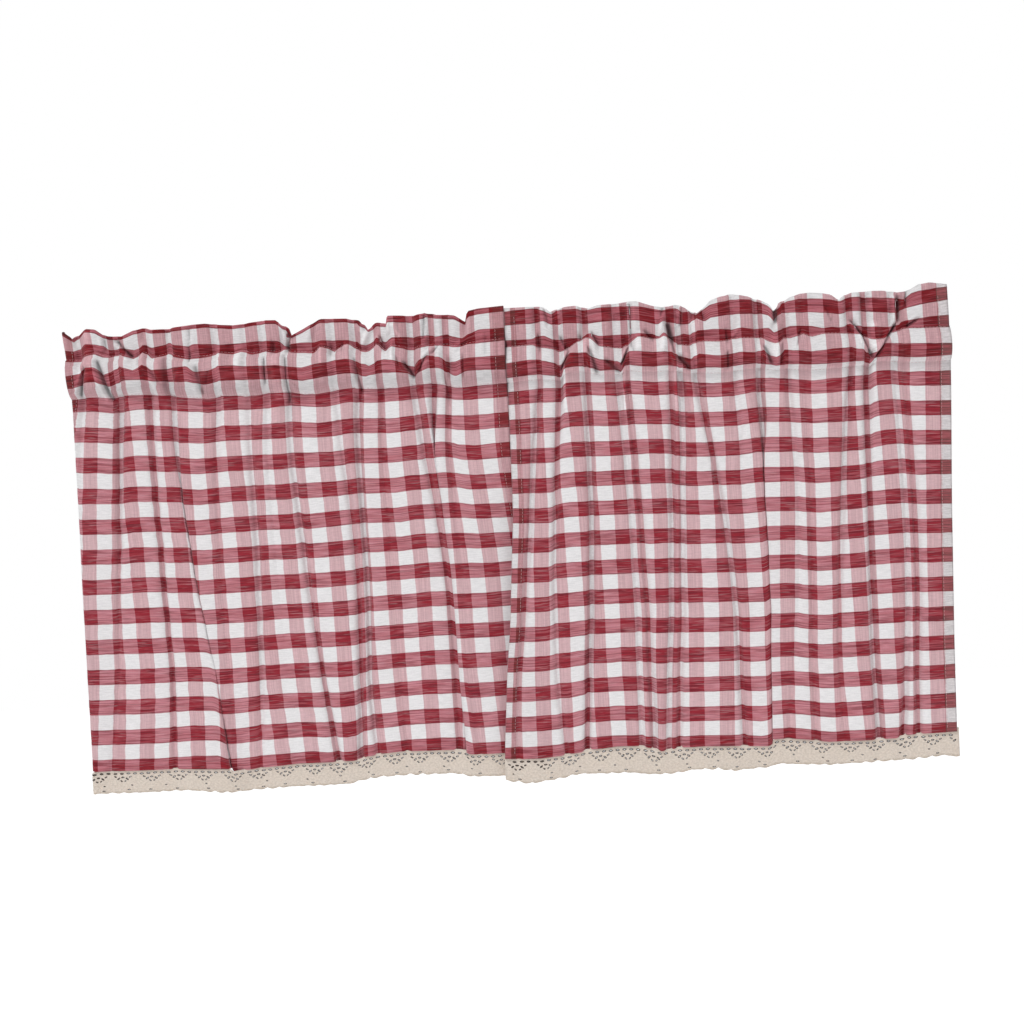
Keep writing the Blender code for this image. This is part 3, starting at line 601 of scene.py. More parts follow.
@functools.cache
def plan_line(panel, level):
    """The cloth seen from above at a level: cloth distance, x and y at every millimetre of cloth."""
    along = np.arange(0.0, panel.flat_width + 0.5)
    turn = eased(level, panel.edges, "turned_back")
    curl = softened(-EDGE_CURL * np.clip((turn - along) / CURL_LENGTH + CURL_START, 0, 1) * (along < turn))
    slopes = np.zeros_like(along)
    for middle, before, after, steep, tilt in folds_at(panel, level):
        inside = np.clip(along - middle + before + 0.5, 0, 1) * np.clip(middle + after - along + 0.5, 0, 1)
        slopes += (steep * np.clip(2 * (middle - along), -1, 1) - tilt) * inside
    bow = CROWN * np.cos(math.pi * (band_of(panel, along, level) % 1.0))
    slopes = softened(slopes - bow) * np.clip(along - turn + 0.5, 0, 1)
    left = eased(level, panel.edges, "left")
    right = eased(level, panel.edges, "right")
    low, high = SLOPE_SHARES
    for _ in range(SLOPE_ROUNDS):
        share = (low + high) / 2
        slope = np.clip(share * slopes, -STEEPEST_SLOPE, STEEPEST_SLOPE) + curl
        x = np.concatenate([[0], np.cumsum(np.cos((slope[1:] + slope[:-1]) / 2))])
        wide = x[-1] - x.min() > right - left
        low, high = (share, high) if wide else (low, share)
    y = np.concatenate([[0], np.cumsum(np.sin((slope[1:] + slope[:-1]) / 2))])
    y -= np.interp(along, [turn, panel.flat_width], [np.interp(turn, along, y), y[-1]])
    limit = np.interp(level, DEPTH_LEVELS, DEPTH_LIMITS)
    x += left - x.min()
    from_edge = right - x if panel.meeting_edge == "right" else x - left
    lean = smooth_step(1 - from_edge / LEAN_REACH) * eased(level, panel.edges, "lean")
    y = np.where(along < turn, y, y * FLATNESS)
    return along, x, limit * np.tanh(y / limit) + lean


# ------------------------------------------------------------ check rows and the shape of the front


@functools.cache
def check_rows(panel):
    """Flat place and mean level of each tabled check row, and its height at every band place."""
    stations = np.array(panel.stations, float)
    lines = [
        (flat, np.column_stack([stations[:, 0], stations[:, i + 1]])) for i, flat in enumerate(panel.columns)
    ]
    lines += [(row.flat, np.array(row.heights, float)) for row in panel.rows]
    grid = np.arange(0.0, len(panel.folds) + 1 + BAND_GRID_STEP / 2, BAND_GRID_STEP)
    flats, levels, heights = [], [], []
    for flat, line in lines:
        level = float(line[:, 1].mean())
        along, x, _ = plan_line(panel, level)
        places = np.interp(line[:, 0], np.maximum.accumulate(x), along)
        drops = np.interp(grid, band_of(panel, places, level), line[:, 1])
        if heights:
            drops = np.maximum(drops, heights[-1] + ROW_GAP)
        flats.append(flat)
        levels.append(level)
        heights.append(drops)
    return np.array(flats), np.array(levels), grid, np.array(heights)


def row_height(panel, flat, level, along):
    """How far below the top line a flat row of the cloth hangs, at each place along it."""
    flats, _, grid, heights = check_rows(panel)
    upper = int(np.clip(np.searchsorted(flats, flat) - 1, 0, len(flats) - 2))
    share = (flat - flats[upper]) / (flats[upper + 1] - flats[upper])
    drops = heights[upper] * (1 - share) + heights[upper + 1] * share
    return np.interp(band_of(panel, along, level), grid, drops)


def gather(panel, flat, x, drops, settings):
    """How far the heading's gathers puff forward, where a check row stands higher than its surroundings."""
    fades = np.interp(flat, [*panel.columns[:2], 0.0, CHECK_REPEAT], GATHER_FADES)
    if fades == 0:
        return np.zeros_like(x)
    even = np.arange(x.min(), x.max() + 1.0)
    order = np.argsort(x)
    heights = np.interp(even, x[order], drops[order])
    rise = softened(heights, settings.gather_spread / MM) - softened(heights, GATHER_SMOOTHING)
    return np.interp(x, even, np.clip(rise, -GATHER_LIMIT, GATHER_LIMIT)) * settings.gather_relief * fades


def creased(panel, x, drops):
    """How far forward the heading's creases and ridges push each place on its front."""
    forward = np.zeros_like(x)
    for crease in panel.creases:
        run_x, run_z = crease.to_x - crease.x, crease.to_z - crease.z
        length = math.hypot(run_x, run_z)
        along = ((x - crease.x) * run_x + (drops - crease.z) * run_z) / length
        aside = ((x - crease.x) * run_z - (drops - crease.z) * run_x) / length
        ends = smooth_step(along / CREASE_END + 0.5) * smooth_step((length - along) / CREASE_END + 0.5)
        soft_side = CREASE_SPREAD * crease.width
        width = np.where(aside * crease.sharp_side > 0, SHARP_SIDE, soft_side)
        forward += crease.rise * np.exp(-((aside / width) ** 2)) * ends
        if crease.rise < 0:
            forward -= CREASE_LIP * crease.rise * np.exp(-((aside / soft_side + LIP_PLACE) ** 2)) * ends
    return forward


def puckered(panel, flat, x):
    """How far forward the small uneven puckers stand that the stitches draw up beside the pocket's seams."""
    near = math.exp(-abs(flat - panel.upper_seam) / PUCKER_REACH)
    near += PUCKER_LOWER * math.exp(-abs(flat - panel.lower_seam) / PUCKER_REACH)
    wave = sum(
        share * np.sin(x * turn + bend * np.sin(x * drift)) for share, turn, bend, drift in PUCKER_WAVES
    )
    return PUCKER_RISE * near * wave * (0.65 + 0.35 * np.sin(x * 0.071 + 1.0))


def pocket_share(panel, flat):
    """The shape of the pocket's walls between its two seams, 1 at the fullest."""
    share = (flat - panel.upper_seam) / (panel.lower_seam - panel.upper_seam)
    return math.sin(math.pi * share) ** POCKET_FULLNESS if 0 < share < 1 else 0.0


def unit(vectors):
    """Vectors brought to a length of 1."""
    return vectors / np.maximum(np.linalg.norm(vectors, axis=-1, keepdims=True), 1e-9)


def plan_normals(x, y):
    """Unit offsets to the cloth's back in plan, mitred at each column and held back at sharp turns."""
    tangent = unit(np.stack([np.diff(x), np.diff(y)], axis=1))
    mean = np.concatenate([tangent[:1], tangent]) + np.concatenate([tangent, tangent[-1:]])
    length = np.maximum(np.linalg.norm(mean, axis=1, keepdims=True), 1e-6)
    return np.stack([-mean[:, 1], mean[:, 0]], axis=1) / length * np.minimum(2 / length, MITER_LIMIT)


def mean_level(panel, flat):
    """How far below the top line a flat row hangs on average."""
    flats, levels, _, _ = check_rows(panel)
    return float(np.interp(flat, flats, levels))


def front_row(panel, flat, settings):
    """One flat row of the cloth's middle, seen on its front layer: places, x, y, drops, how far forward each
    is pushed, backward offsets and how much painted shade (painted highlight where negative) each gets."""
    level = mean_level(panel, flat)
    along, x_line, y_line = plan_line(panel, level)
    places = cloth_places(panel, level)
    x = np.interp(places, along, x_line)
    y = np.interp(places, along, y_line)
    drops = row_height(panel, flat, level, places)
    pressed = creased(panel, x, drops) * settings.crease_depth
    drawn = gather(panel, flat, x, drops, settings) + puckered(panel, flat, x)
    forward = drawn + pressed
    # Painted shade in the creases and gathers, and painted highlight where they stand forward
    painted_relief_shade = -(pressed + DRAWN_SHADE * drawn) / FULL_PAINTED_SHADE_DEPTH
    return places, x, y - forward, drops, forward, plan_normals(x, y), painted_relief_shade


def cloth_rows(panel):
    """Each row of the folded cloth, from the turned-up hem to the back wall, as (layer, flat place)."""
    top = panel.columns[0]
    hem = panel.rows[-1].flat
    heading_foot = panel.columns[-1] + CHECK
    first, last = (top + down for down in EDGE_ROWS)
    body = np.linspace(hem - BODY_STEP, heading_foot, BODY_ROWS, endpoint=False)
    heading = np.linspace(heading_foot, first, HEADING_ROWS)
    back = np.arange(first + BACK_STEP, panel.lower_seam + 1.0, BACK_STEP)
    layers = {
        "hem turn": [hem - up for up in HEM_TURN_ROWS],
        "hem fold": [hem],
        "front": [*[hem - up for up in HEM_ROWS], *body, *heading, last],
        "top fold": [top],
        "back": [last, first, *back, panel.lower_seam + 2.0, panel.lower_seam + BACK_FOOT],
    }
    return [(layer, flat) for layer, flats in layers.items() for flat in flats]


def layer_points(panel, layer, flat, settings):
    """One row of points of a layer, with its side hems turned in behind, and for each point its flat place
    across and how much painted shade or highlight its creases and gathers give it."""
    places, x, y, drops, forward, normal, painted_relief_shade = front_row(panel, flat, settings)
    bulge = pocket_share(panel, flat)
    front_bulge = settings.pocket_front / MM * bulge
    back_bulge = settings.pocket_back / MM * bulge
    turned = np.array(TURNED_COLUMNS)
    width = panel.flat_width
    columns = np.concatenate([turned, places, width - turned[::-1]])
    flats_across = np.concatenate([-turned, places, width + turned[::-1]])
    inside = np.clip(np.minimum(columns, width - columns), 0, 1)
    is_turned = np.ones(len(columns), bool)
    is_turned[FRONT] = False
    hem_depth = HEM_GAP * np.where(is_turned, 1 - 0.5 * (1 - inside), 0.5 * (1 - inside))
    depth = {
        "front": hem_depth,
        "hem fold": HEM_TURN_GAP / 2,
        "hem turn": HEM_TURN_GAP - HEM_TURN_PRESS * hem_depth,
        "top fold": HEADER_GAP / 2,
        "back": HEADER_GAP - hem_depth,
    }[layer]
    at = np.interp(columns, places, np.arange(len(places)))
    low = np.floor(at).astype(int).clip(0, len(places) - 2)
    share = (at - low)[:, None]
    base = np.column_stack([x, y, forward, drops, normal])
    base = base[low] * (1 - share) + base[low + 1] * share
    px, py, forward, pz, nx, ny = base.T
    steep = np.clip(1 / np.maximum(ny, 0.5), 1, 2)
    if layer == "back":
        py = (py + forward * bulge) * (1 - bulge + BACK_RIPPLE * bulge) + back_bulge + depth * steep
        px = px + nx * depth * (1 - bulge)
    else:
        px = px + nx * depth
        py = py + ny * depth - front_bulge
    painted_relief_shade = np.interp(columns, places, painted_relief_shade) * (layer == "front")
    return np.column_stack([px, py, -pz]), flats_across, painted_relief_shade


def surface_normals(points):
    """Unit normals of a grid of points, towards the front of its first layer."""
    return unit(np.cross(np.gradient(points, axis=1), np.gradient(points, axis=0)))


# ------------------------------------------------------------ meshes


def linked(name, data):
    """An object of the scene."""
    made = bpy.data.objects.new(name, data)
    bpy.context.scene.collection.objects.link(made)
    return made


def add_object(name, points, faces, material):
    """One mesh object with points in millimetres."""
    mesh = bpy.data.meshes.new(name)
    mesh.from_pydata(np.asarray(points) * MM, [], faces)
    mesh.materials.append(material)
    mesh.shade_smooth()
    return linked(name, mesh)


def add_sheet(name, middle, normals, thickness, faces, material, flats, measures):
    """A closed sheet about its middle points. Its flat places are the UV map of its weave, and its measures
    are values at each point for the material."""
    points = np.concatenate([middle + normals * thickness / 2, middle - normals * thickness / 2])
    made = add_object(name, points, faces, material)
    mesh = made.data
    corners = np.empty(len(mesh.loops), int)
    mesh.loops.foreach_get("vertex_index", corners)
    places = np.concatenate([flats, flats]) * MM
    mesh.uv_layers.new(name="cloth").data.foreach_set("uv", places[corners].ravel())
    for measure, values in measures.items():
        layer = mesh.attributes.new(measure, "FLOAT", "POINT")
        layer.data.foreach_set("value", np.tile(np.ravel(values), 2).astype(np.float32))
    return made


def sheet_faces(rows, columns):
    """Faces of a closed sheet of a front and a back grid."""
    index = np.arange(rows * columns).reshape(rows, columns)
    behind = index + rows * columns
    quads = [
        np.stack([index[:-1, :-1], index[:-1, 1:], index[1:, 1:], index[1:, :-1]], -1).reshape(-1, 4),
        np.stack([behind[:-1, :-1], behind[1:, :-1], behind[1:, 1:], behind[:-1, 1:]], -1).reshape(-1, 4),
    ]
    rim = np.array([*index[0], *index[1:, -1], *index[-1, -2::-1], *index[-2:0:-1, 0]])
    after = np.roll(rim, -1)
    quads.append(np.stack([rim, rim + rows * columns, after + rows * columns, after], -1))
    return np.concatenate(quads)


def cloth_grid(panel, settings):
    """The middle of a panel's cloth as a grid of points, and each one's flat place across and painted relief
    shade.
    """
    rows = [layer_points(panel, layer, flat, settings) for layer, flat in cloth_rows(panel)]
    return [np.array(part) for part in zip(*rows)]


def cloth(panel, settings, material):
    """One panel's cloth: side hems turned in, hem turned up, and the head folded over into a rod pocket."""
    middle, across, painted_relief_shade = cloth_grid(panel, settings)
    layer, flat = (np.array(column)[:, None] for column in zip(*cloth_rows(panel)))
    top, hem = panel.columns[0], panel.rows[-1].flat
    down = np.select([layer == "back", layer == "hem turn"], [2 * top - flat, 2 * hem - flat], flat)
    # How far a second layer backs the cloth, which the material paints in shade
    head = np.clip((panel.lower_seam + 1.0 - flat) / DOUBLED_BLUR, 0, 1) * (layer != "hem turn")
    foot = np.clip((flat - hem + HEM_TURN) / DOUBLED_BLUR, 0, 1)
    # Painted shade at the pocket's foot, where the cloth turns down away from the light
    under = np.clip(1.2 - abs(flat - panel.lower_seam + POCKET_SHADE_RISE) / POCKET_SHADE_REACH, 0, 1) * (layer == "front")
    # What the material is told, mostly to paint shade and highlight
    measures = (
        np.maximum(head, 0.5 * foot),
        np.minimum(across, panel.flat_width - across),
        np.where(across < panel.flat_width / 2, *panel.hem_greys),
        painted_relief_shade,
        under * panel.under_shade,
    )
    return add_sheet(
        f"cloth_{panel.side}",
        middle.reshape(-1, 3),
        surface_normals(middle).reshape(-1, 3),
        settings.thickness / MM,
        sheet_faces(*across.shape).tolist(),
        material,
        np.stack([across - panel.first_repeat, np.broadcast_to(down, across.shape)], axis=-1).reshape(-1, 2),
        {name: np.broadcast_to(values, across.shape) for name, values in zip(MEASURES, measures)},
    )


def lace_edge(panel, across):
    """How far down each place the lace's scallops reach, as a share of its drop."""
    scallop = np.abs(np.sin(math.pi * across / SCALLOP)) ** 0.7
    uneven = 0.5 + 0.5 * np.sin(across * 0.037 + (1.3 if panel.side == "left" else 0.2))
    return 1.0 - (0.025 + 0.05 * uneven) * (1 - scallop) - 0.012 * np.sin(across * 0.61)


@functools.cache
def lace_line(panel):
    """The lace seen from above, bridging the folds: distances along it, and the cloth's, x and y there."""
    level = float(check_rows(panel)[1][-1]) + LACE_DROP / 3
    along, x, y = plan_line(panel, level)
    beyond = along >= eased(level, panel.edges, "turned_back")
    onward = np.maximum.accumulate(x[beyond])
    even = np.arange(onward[0], onward[-1] + 0.5)
    lip = np.interp(even, onward, y[beyond])
    padded = np.pad(lip, LACE_BRIDGE, mode="edge")
    around = np.lib.stride_tricks.sliding_window_view(padded, 2 * LACE_BRIDGE + 1)
    front = softened(around.min(axis=1), LACE_BRIDGING)
    lip = softened(front + LACE_FOLD_DEPTH * np.tanh((lip - front) / LACE_FOLD_DEPTH), 2.5)
    along = np.concatenate([along[~beyond], np.interp(even, onward, along[beyond])])
    x = np.concatenate([x[~beyond], even])
    y = softened(np.concatenate([y[~beyond], lip]), 1.5)
    if panel.meeting_edge == "left":
        x[-1] += LACE_OVERHANG
    distance = np.concatenate([[0], np.cumsum(np.hypot(np.diff(x), np.diff(y)))])
    return distance, along, x, y


def lace_holes(panel, settings):
    """The lace's openings as (across, down, half length, half width, turn): ladder, leaf clusters, dots."""
    holes = []
    width = lace_line(panel)[0][-1]
    pitch = settings.lace_repeat / MM
    for k in range(int(width / (pitch / 4)) + 1):
        across, down = 3.0 + k * pitch / 4, 3.1 + 0.25 * math.sin(k * 1.7)
        holes.append((across, down, 2.1, 1.0, RUNG_TILT * math.sin(k * 2.1)))
    cluster = (
        (-7.6, 6.4, 1.5, 0.7, 25), (7.6, 6.4, 1.5, 0.7, -25), (-4.4, 8.4, 1.8, 0.9, -35),
        (0.0, 6.9, 1.7, 0.85, 0), (4.4, 8.4, 1.8, 0.9, 35),
        (-1.5, 10.9, 1.4, 0.7, 40), (2.4, 10.7, 1.2, 0.65, -45),
    )
    for k in range(int(width / pitch) + 1):
        centre = 12.0 + k * pitch + 1.5 * math.sin(k * 2.3)
        for across, down, half, wide, turn in cluster:
            holes.append((centre + across, down, half, wide, math.radians(turn)))
    for k in range(int(width / DOT_SPACE) + 1):
        across, down = 8.0 + DOT_SPACE * k + 4.0 * math.sin(k * 1.9), 15.6 + 0.9 * math.sin(k * 2.9)
        holes.append((across, down, 1.1, 0.6, 0.2))
    for k in range(int(width / EDGE_DOT_SPACE) + 1):
        across, down = 14.0 + EDGE_DOT_SPACE * k + 4.0 * math.sin(k * 1.3), 20.2 + 0.6 * math.sin(k * 2.1)
        holes.append((across, down, 1.7, 0.6, 0.0))
    return [hole for hole in holes if 3.0 < hole[0] < width - 3.0]


def opening(half, wide):
    """The clear part of one of the lace's openings, inside its threads painted in shade."""
    return max(half - RIM, 0.5), max(wide - RIM, 0.22)


def ring_round(hole, half, wide):
    """Points round one of the lace's openings, at a half length and half width of their own."""
    across, down, _, _, turn = hole
    angles = np.linspace(0, 2 * math.pi, RING_POINTS, endpoint=False)
    spin = np.array([[math.cos(turn), math.sin(turn)], [-math.sin(turn), math.cos(turn)]])
    ring = np.column_stack([half * np.cos(angles), wide * np.sin(angles)]) @ spin + (across, down)
    return [tuple(point) for point in ring]


def lace_net(panel, settings):
    """The flat lace as triangles: its points, how much painted shade each gets from an opening's edge, and
    the faces.
    """
    width = lace_line(panel)[0][-1]
    holes = lace_holes(panel, settings)
    points, edges = [], []

    def add_loop(loop):
        start = len(points)
        points.extend(loop)
        edges.extend((start + i, start + (i + 1) % len(loop)) for i in range(len(loop)))

    across = np.arange(0.0, width + 0.5, LACE_EDGE_STEP)
    across[-1] = width
    edge = lace_edge(panel, across) * LACE_DROP
    add_loop([(a, -LACE_LAP) for a in across] + [(a, e) for a, e in zip(across[::-1], edge[::-1])])
    outline = len(points)
    for hole in holes:
        add_loop(ring_round(hole, *opening(*hole[2:4])))
    inner = len(points)
    for hole in holes:
        points.extend(ring_round(hole, hole[2] + RIM_REACH, hole[3] + RIM_REACH))
    spots = np.array([hole[:2] for hole in holes])
    reach = np.array([hole[2] + NET_ROOM for hole in holes])
    for row, down in enumerate(np.arange(-LACE_LAP + LACE_STEP, LACE_DROP - NET_MARGIN, LACE_STEP)):
        for a in np.arange(2.0 + LACE_STEP / 2 * (row % 2), width - NET_MARGIN, LACE_STEP):
            near = np.abs(spots[:, 0] - a) < NET_SEARCH
            if not near.any() or (np.hypot(*(spots[near] - (a, down)).T) > reach[near]).all():
                points.append((a, down))
    points = [Vector(point) for point in points]
    flat, _, faces, origins, *_ = geometry.delaunay_2d_cdt(points, edges, [], 0, 1e-4)
    flat = np.array([tuple(point) for point in flat])
    faces = np.array([face for face in faces if len(face) == 3])
    # Points on an opening's clear edge get the full painted shade
    rim = np.array([1.0 if any(outline <= i < inner for i in origin) else 0.0 for origin in origins])
    centres = flat[faces].mean(axis=1)
    kept = centres[:, 1] < np.interp(centres[:, 0], across, edge)
    for a, d, half, wide, turn in holes:
        near = np.nonzero(np.abs(centres[:, 0] - a) < half + 0.5)[0]
        local = centres[near] - (a, d)
        along = local[:, 0] * math.cos(turn) + local[:, 1] * math.sin(turn)
        aside = -local[:, 0] * math.sin(turn) + local[:, 1] * math.cos(turn)
        open_half, open_wide = opening(half, wide)
        kept[near[(along / open_half) ** 2 + (aside / open_wide) ** 2 < 1]] = False
    return flat, rim, faces[kept]


def lace_points(panel, flat):
    """Where each flat point of the lace hangs: behind the hem and below it, bridging the folds."""
    hem = panel.rows[-1].flat
    distance, along, x, y = lace_line(panel)
    level = float(check_rows(panel)[1][-1])
    drops = np.array(panel.lace, float)
    across, down = flat.T
    lap = row_height(panel, hem - LACE_LAP, level, along)
    foot = row_height(panel, hem, level, along)
    cloth_along, _, cloth_y = plan_line(panel, level)
    behind_lace = np.interp(along, cloth_along, softened(cloth_y, 1.5)) - y
    lap = foot + (lap - foot) * np.clip(1.2 - behind_lace / 2, 0.15, 1)
    normal = plan_normals(x, y)
    share = np.clip(down / LACE_DROP, 0, 1.1)
    into_lap = np.clip(-down / LACE_LAP, 0, 1)

    def at(values):
        return np.interp(across, distance, values)

    # Where the cloth turns back the lace lies flat against it below the hem
    at_turn = np.clip(1 - (x - x.min()) / 6, 0, 1) * (panel.meeting_edge == "right")
    behind = LACE_BEHIND * (1 - 1.3 * at(at_turn) * np.clip(down / 2, 0, 1))
    hem_z = at(foot) * (1 - into_lap) + at(lap) * into_lap
    z = hem_z * (1 - share) + np.interp(at(x), drops[:, 0], drops[:, 1]) * share
    return np.column_stack([at(x) + at(normal[:, 0]) * behind, at(y) + at(normal[:, 1]) * behind, -z])


def lace(panel, settings, material):
    """One panel's lace: a closed sheet with its openings cut right through."""
    flat, rim, faces = lace_net(panel, settings)
    used, faces = np.unique(faces, return_inverse=True)
    flat, rim, faces = flat[used], rim[used], faces.reshape(-1, 3)
    turned = np.cross(flat[faces[:, 1]] - flat[faces[:, 0]], flat[faces[:, 2]] - flat[faces[:, 0]]) < 0
    faces[turned] = faces[turned][:, ::-1]
    step = NORMAL_STEP
    across = lace_points(panel, flat + (step, 0)) - lace_points(panel, flat - (step, 0))
    down = lace_points(panel, flat + (0, step)) - lace_points(panel, flat - (0, step))
    ends = [tuple(pair) for side in ([0, 1], [1, 2], [2, 0]) for pair in faces[:, side].tolist()]
    known = set(ends)
    count = len(flat)
    all_faces = [*faces.tolist(), *(faces[:, ::-1] + count).tolist()]
    all_faces += [[b, a, a + count, b + count] for a, b in ends if (b, a) not in known]
    return add_sheet(
        f"lace_edging_{panel.side}",
        lace_points(panel, flat),
        unit(np.cross(across, down)),
        settings.lace_thickness / MM,
        all_faces,
        material,
        flat,
        # how much painted shade each point gets round the openings
        {"rim": rim},
    )


def at_distance(place, distance, values):
    """A point or a direction between those given along a path."""
    return np.array([np.interp(place, distance, column) for column in values.T])


def stitches(name, paths, settings, material):
    """Short rounded stitches along paths of (point, outward normal), all in one mesh."""
    angles = np.linspace(0, 2 * math.pi, STITCH_SIDES, endpoint=False)
    around = np.arange(STITCH_SIDES)
    points, faces = [], []
    pitch = (settings.stitch_length + settings.stitch_space) / MM
    half = settings.stitch_length / MM / 2
    thick = settings.thread / MM / 2
    for path, outward in paths:
        distance = np.concatenate([[0], np.cumsum(np.linalg.norm(np.diff(path, axis=0), axis=1))])
        for middle in np.arange(pitch, distance[-1] - pitch, pitch):
            first, last = (at_distance(middle + s, distance, path) for s in (-half, half))
            out = at_distance(middle, distance, outward)
            centre = (first + last) / 2 + out * thick * 0.5
            axis = last - first
            length = np.linalg.norm(axis)
            if length < half:
                continue
            axis /= length
            out -= axis * out.dot(axis)
            out /= np.linalg.norm(out)
            aside = np.cross(axis, out)
            start = len(points)
            for along, wide in STITCH_RINGS:
                for angle in angles:
                    ring = out * math.cos(angle) + aside * math.sin(angle)
                    points.append(centre + axis * along * half + ring * wide * thick)
            rings = start + np.arange(len(STITCH_RINGS))[:, None] * STITCH_SIDES + around
            for low, high in zip(rings, rings[1:]):
                faces += np.stack([low, np.roll(low, -1), np.roll(high, -1), high], axis=1).tolist()
            faces += [rings[0][::-1].tolist(), rings[-1].tolist()]
    return add_object(name, points, faces, material)


def front_rows(panel, top, foot):
    """The front's rows between two flat places, as (place in the grid, flat place)."""
    rows = enumerate(cloth_rows(panel))
    return [(i, flat) for i, (layer, flat) in rows if layer == "front" and top <= flat <= foot]


def seam_path(panel, middle, settings, flat):
    """A stitch line across the front of the cloth at a flat row, with the outward normals along it."""
    rows = front_rows(panel, panel.columns[0], panel.rows[-1].flat)
    nearest, _ = min(rows, key=lambda row: abs(row[1] - flat))
    out = surface_normals(middle)[nearest, FRONT]
    return middle[nearest, FRONT] + out * settings.thickness / MM / 2, out


def side_path(panel, middle, settings, place):
    """A stitch line down the front of the cloth at a place across it."""
    grids = middle[:, FRONT], surface_normals(middle)[:, FRONT]
    found = []
    for i, flat in front_rows(panel, panel.columns[0] + SIDE_SEAM_TOP, panel.rows[-1].flat - SIDE_SEAM_FOOT):
        places = cloth_places(panel, mean_level(panel, flat))
        at = int(np.searchsorted(places, place)) - 1
        share = (place - places[at]) / (places[at + 1] - places[at])
        found.append([grid[i, at] * (1 - share) + grid[i, at + 1] * share for grid in grids])
    points, outward = np.array(found).swapaxes(0, 1)
    return points + outward * settings.thickness / MM / 2, outward


# ------------------------------------------------------------ materials


# How each value is eased from one range to another, and how colours are mixed: a share, then sockets 6 and 7
EASED = {"interpolation_type": "SMOOTHSTEP"}
IN_COLOUR = {"data_type": "RGBA", "out": 2}
WHITE = (1.0, 1.0, 1.0, 1.0)
CHECK_BLUR = 0.3  # the width over which one band of the check gives way to the next, each way
DOUBLED_DEPTH, HEM_DEPTH = 0.34, 3.2  # how much deeper the painted shade makes the colours of two-layer cloth and of a side hem
# The share of painted grey shade mixed into a side hem
HEM_SHADE_GREY = 0.5


def darker(colour, share):
    """A colour with its red, green and blue brought down to a share."""
    return [part * share for part in colour[:3]] + [1.0]


def linear(hex_colour):
    """An sRGB hex colour as linear red, green, blue and alpha."""
    parts = [int(hex_colour[i : i + 2], 16) / 255 for i in (1, 3, 5)]
    return [c / 12.92 if c <= 0.04045 else ((c + 0.055) / 1.055) ** 2.4 for c in parts] + [1.0]


def fill(node, inputs):
    """Give a node's inputs, in order or by name, another node's output or a steady value."""
    for place, value in inputs.items() if isinstance(inputs, dict) else enumerate(inputs):
        if isinstance(value, bpy.types.NodeSocket):
            node.id_data.links.new(value, node.inputs[place])
        else:
            node.inputs[place].default_value = value


def add_node(tree, kind, inputs=(), out=0, **settings):
    """Add a node with its settings and its inputs, and give back the output that is wanted."""
    node = tree.nodes.new("ShaderNode" + kind)
    for name, value in settings.items():
        setattr(node, name, value)
    fill(node, inputs)
    return node.outputs[out]


def new_material(name, roughness, sheen, specular, see_through=0.0):
    """A material, its shader with its steady values set, and what adds nodes to it. Thin cloth lets some
    light through."""
    material = bpy.data.materials.new(name)
    material.use_nodes = True
    shader = material.node_tree.nodes["Principled BSDF"]
    fill(shader, {
        "Roughness": roughness,
        "Sheen Weight": sheen,
        "Sheen Roughness": 0.6,
        "Specular IOR Level": specular,
        "Subsurface Weight": see_through,
        "Subsurface Radius": (1.0, 1.0, 1.0),
        "Subsurface Scale": 0.0009,
    })
    return material, shader, functools.partial(add_node, material.node_tree)


def flat_place(add):
    """The place on the flat cloth in millimetres, across and down."""
    return add("VectorMath", {0: add("UVMap", uv_map="cloth"), "Scale": 1 / MM}, operation="SCALE")


def streaks(add, place, size, detail=2.0, seed=0.0, between=None, becomes=(0.0, 1.0)):
    """Noise drawn out along the threads by its size across and down the cloth, in millimetres. What lies
    between two of its values can be eased to another range."""
    scale = (1 / size[0], 1 / size[1], 1.0)
    moved = add("VectorMath", (place, scale, (seed, seed, seed)), operation="MULTIPLY_ADD")
    noise = add("TexNoise", {"Vector": moved, "Scale": 1.0, "Detail": detail}, "Fac", noise_dimensions="2D")
    return add("MapRange", (noise, *between, *becomes), **EASED) if between else noise


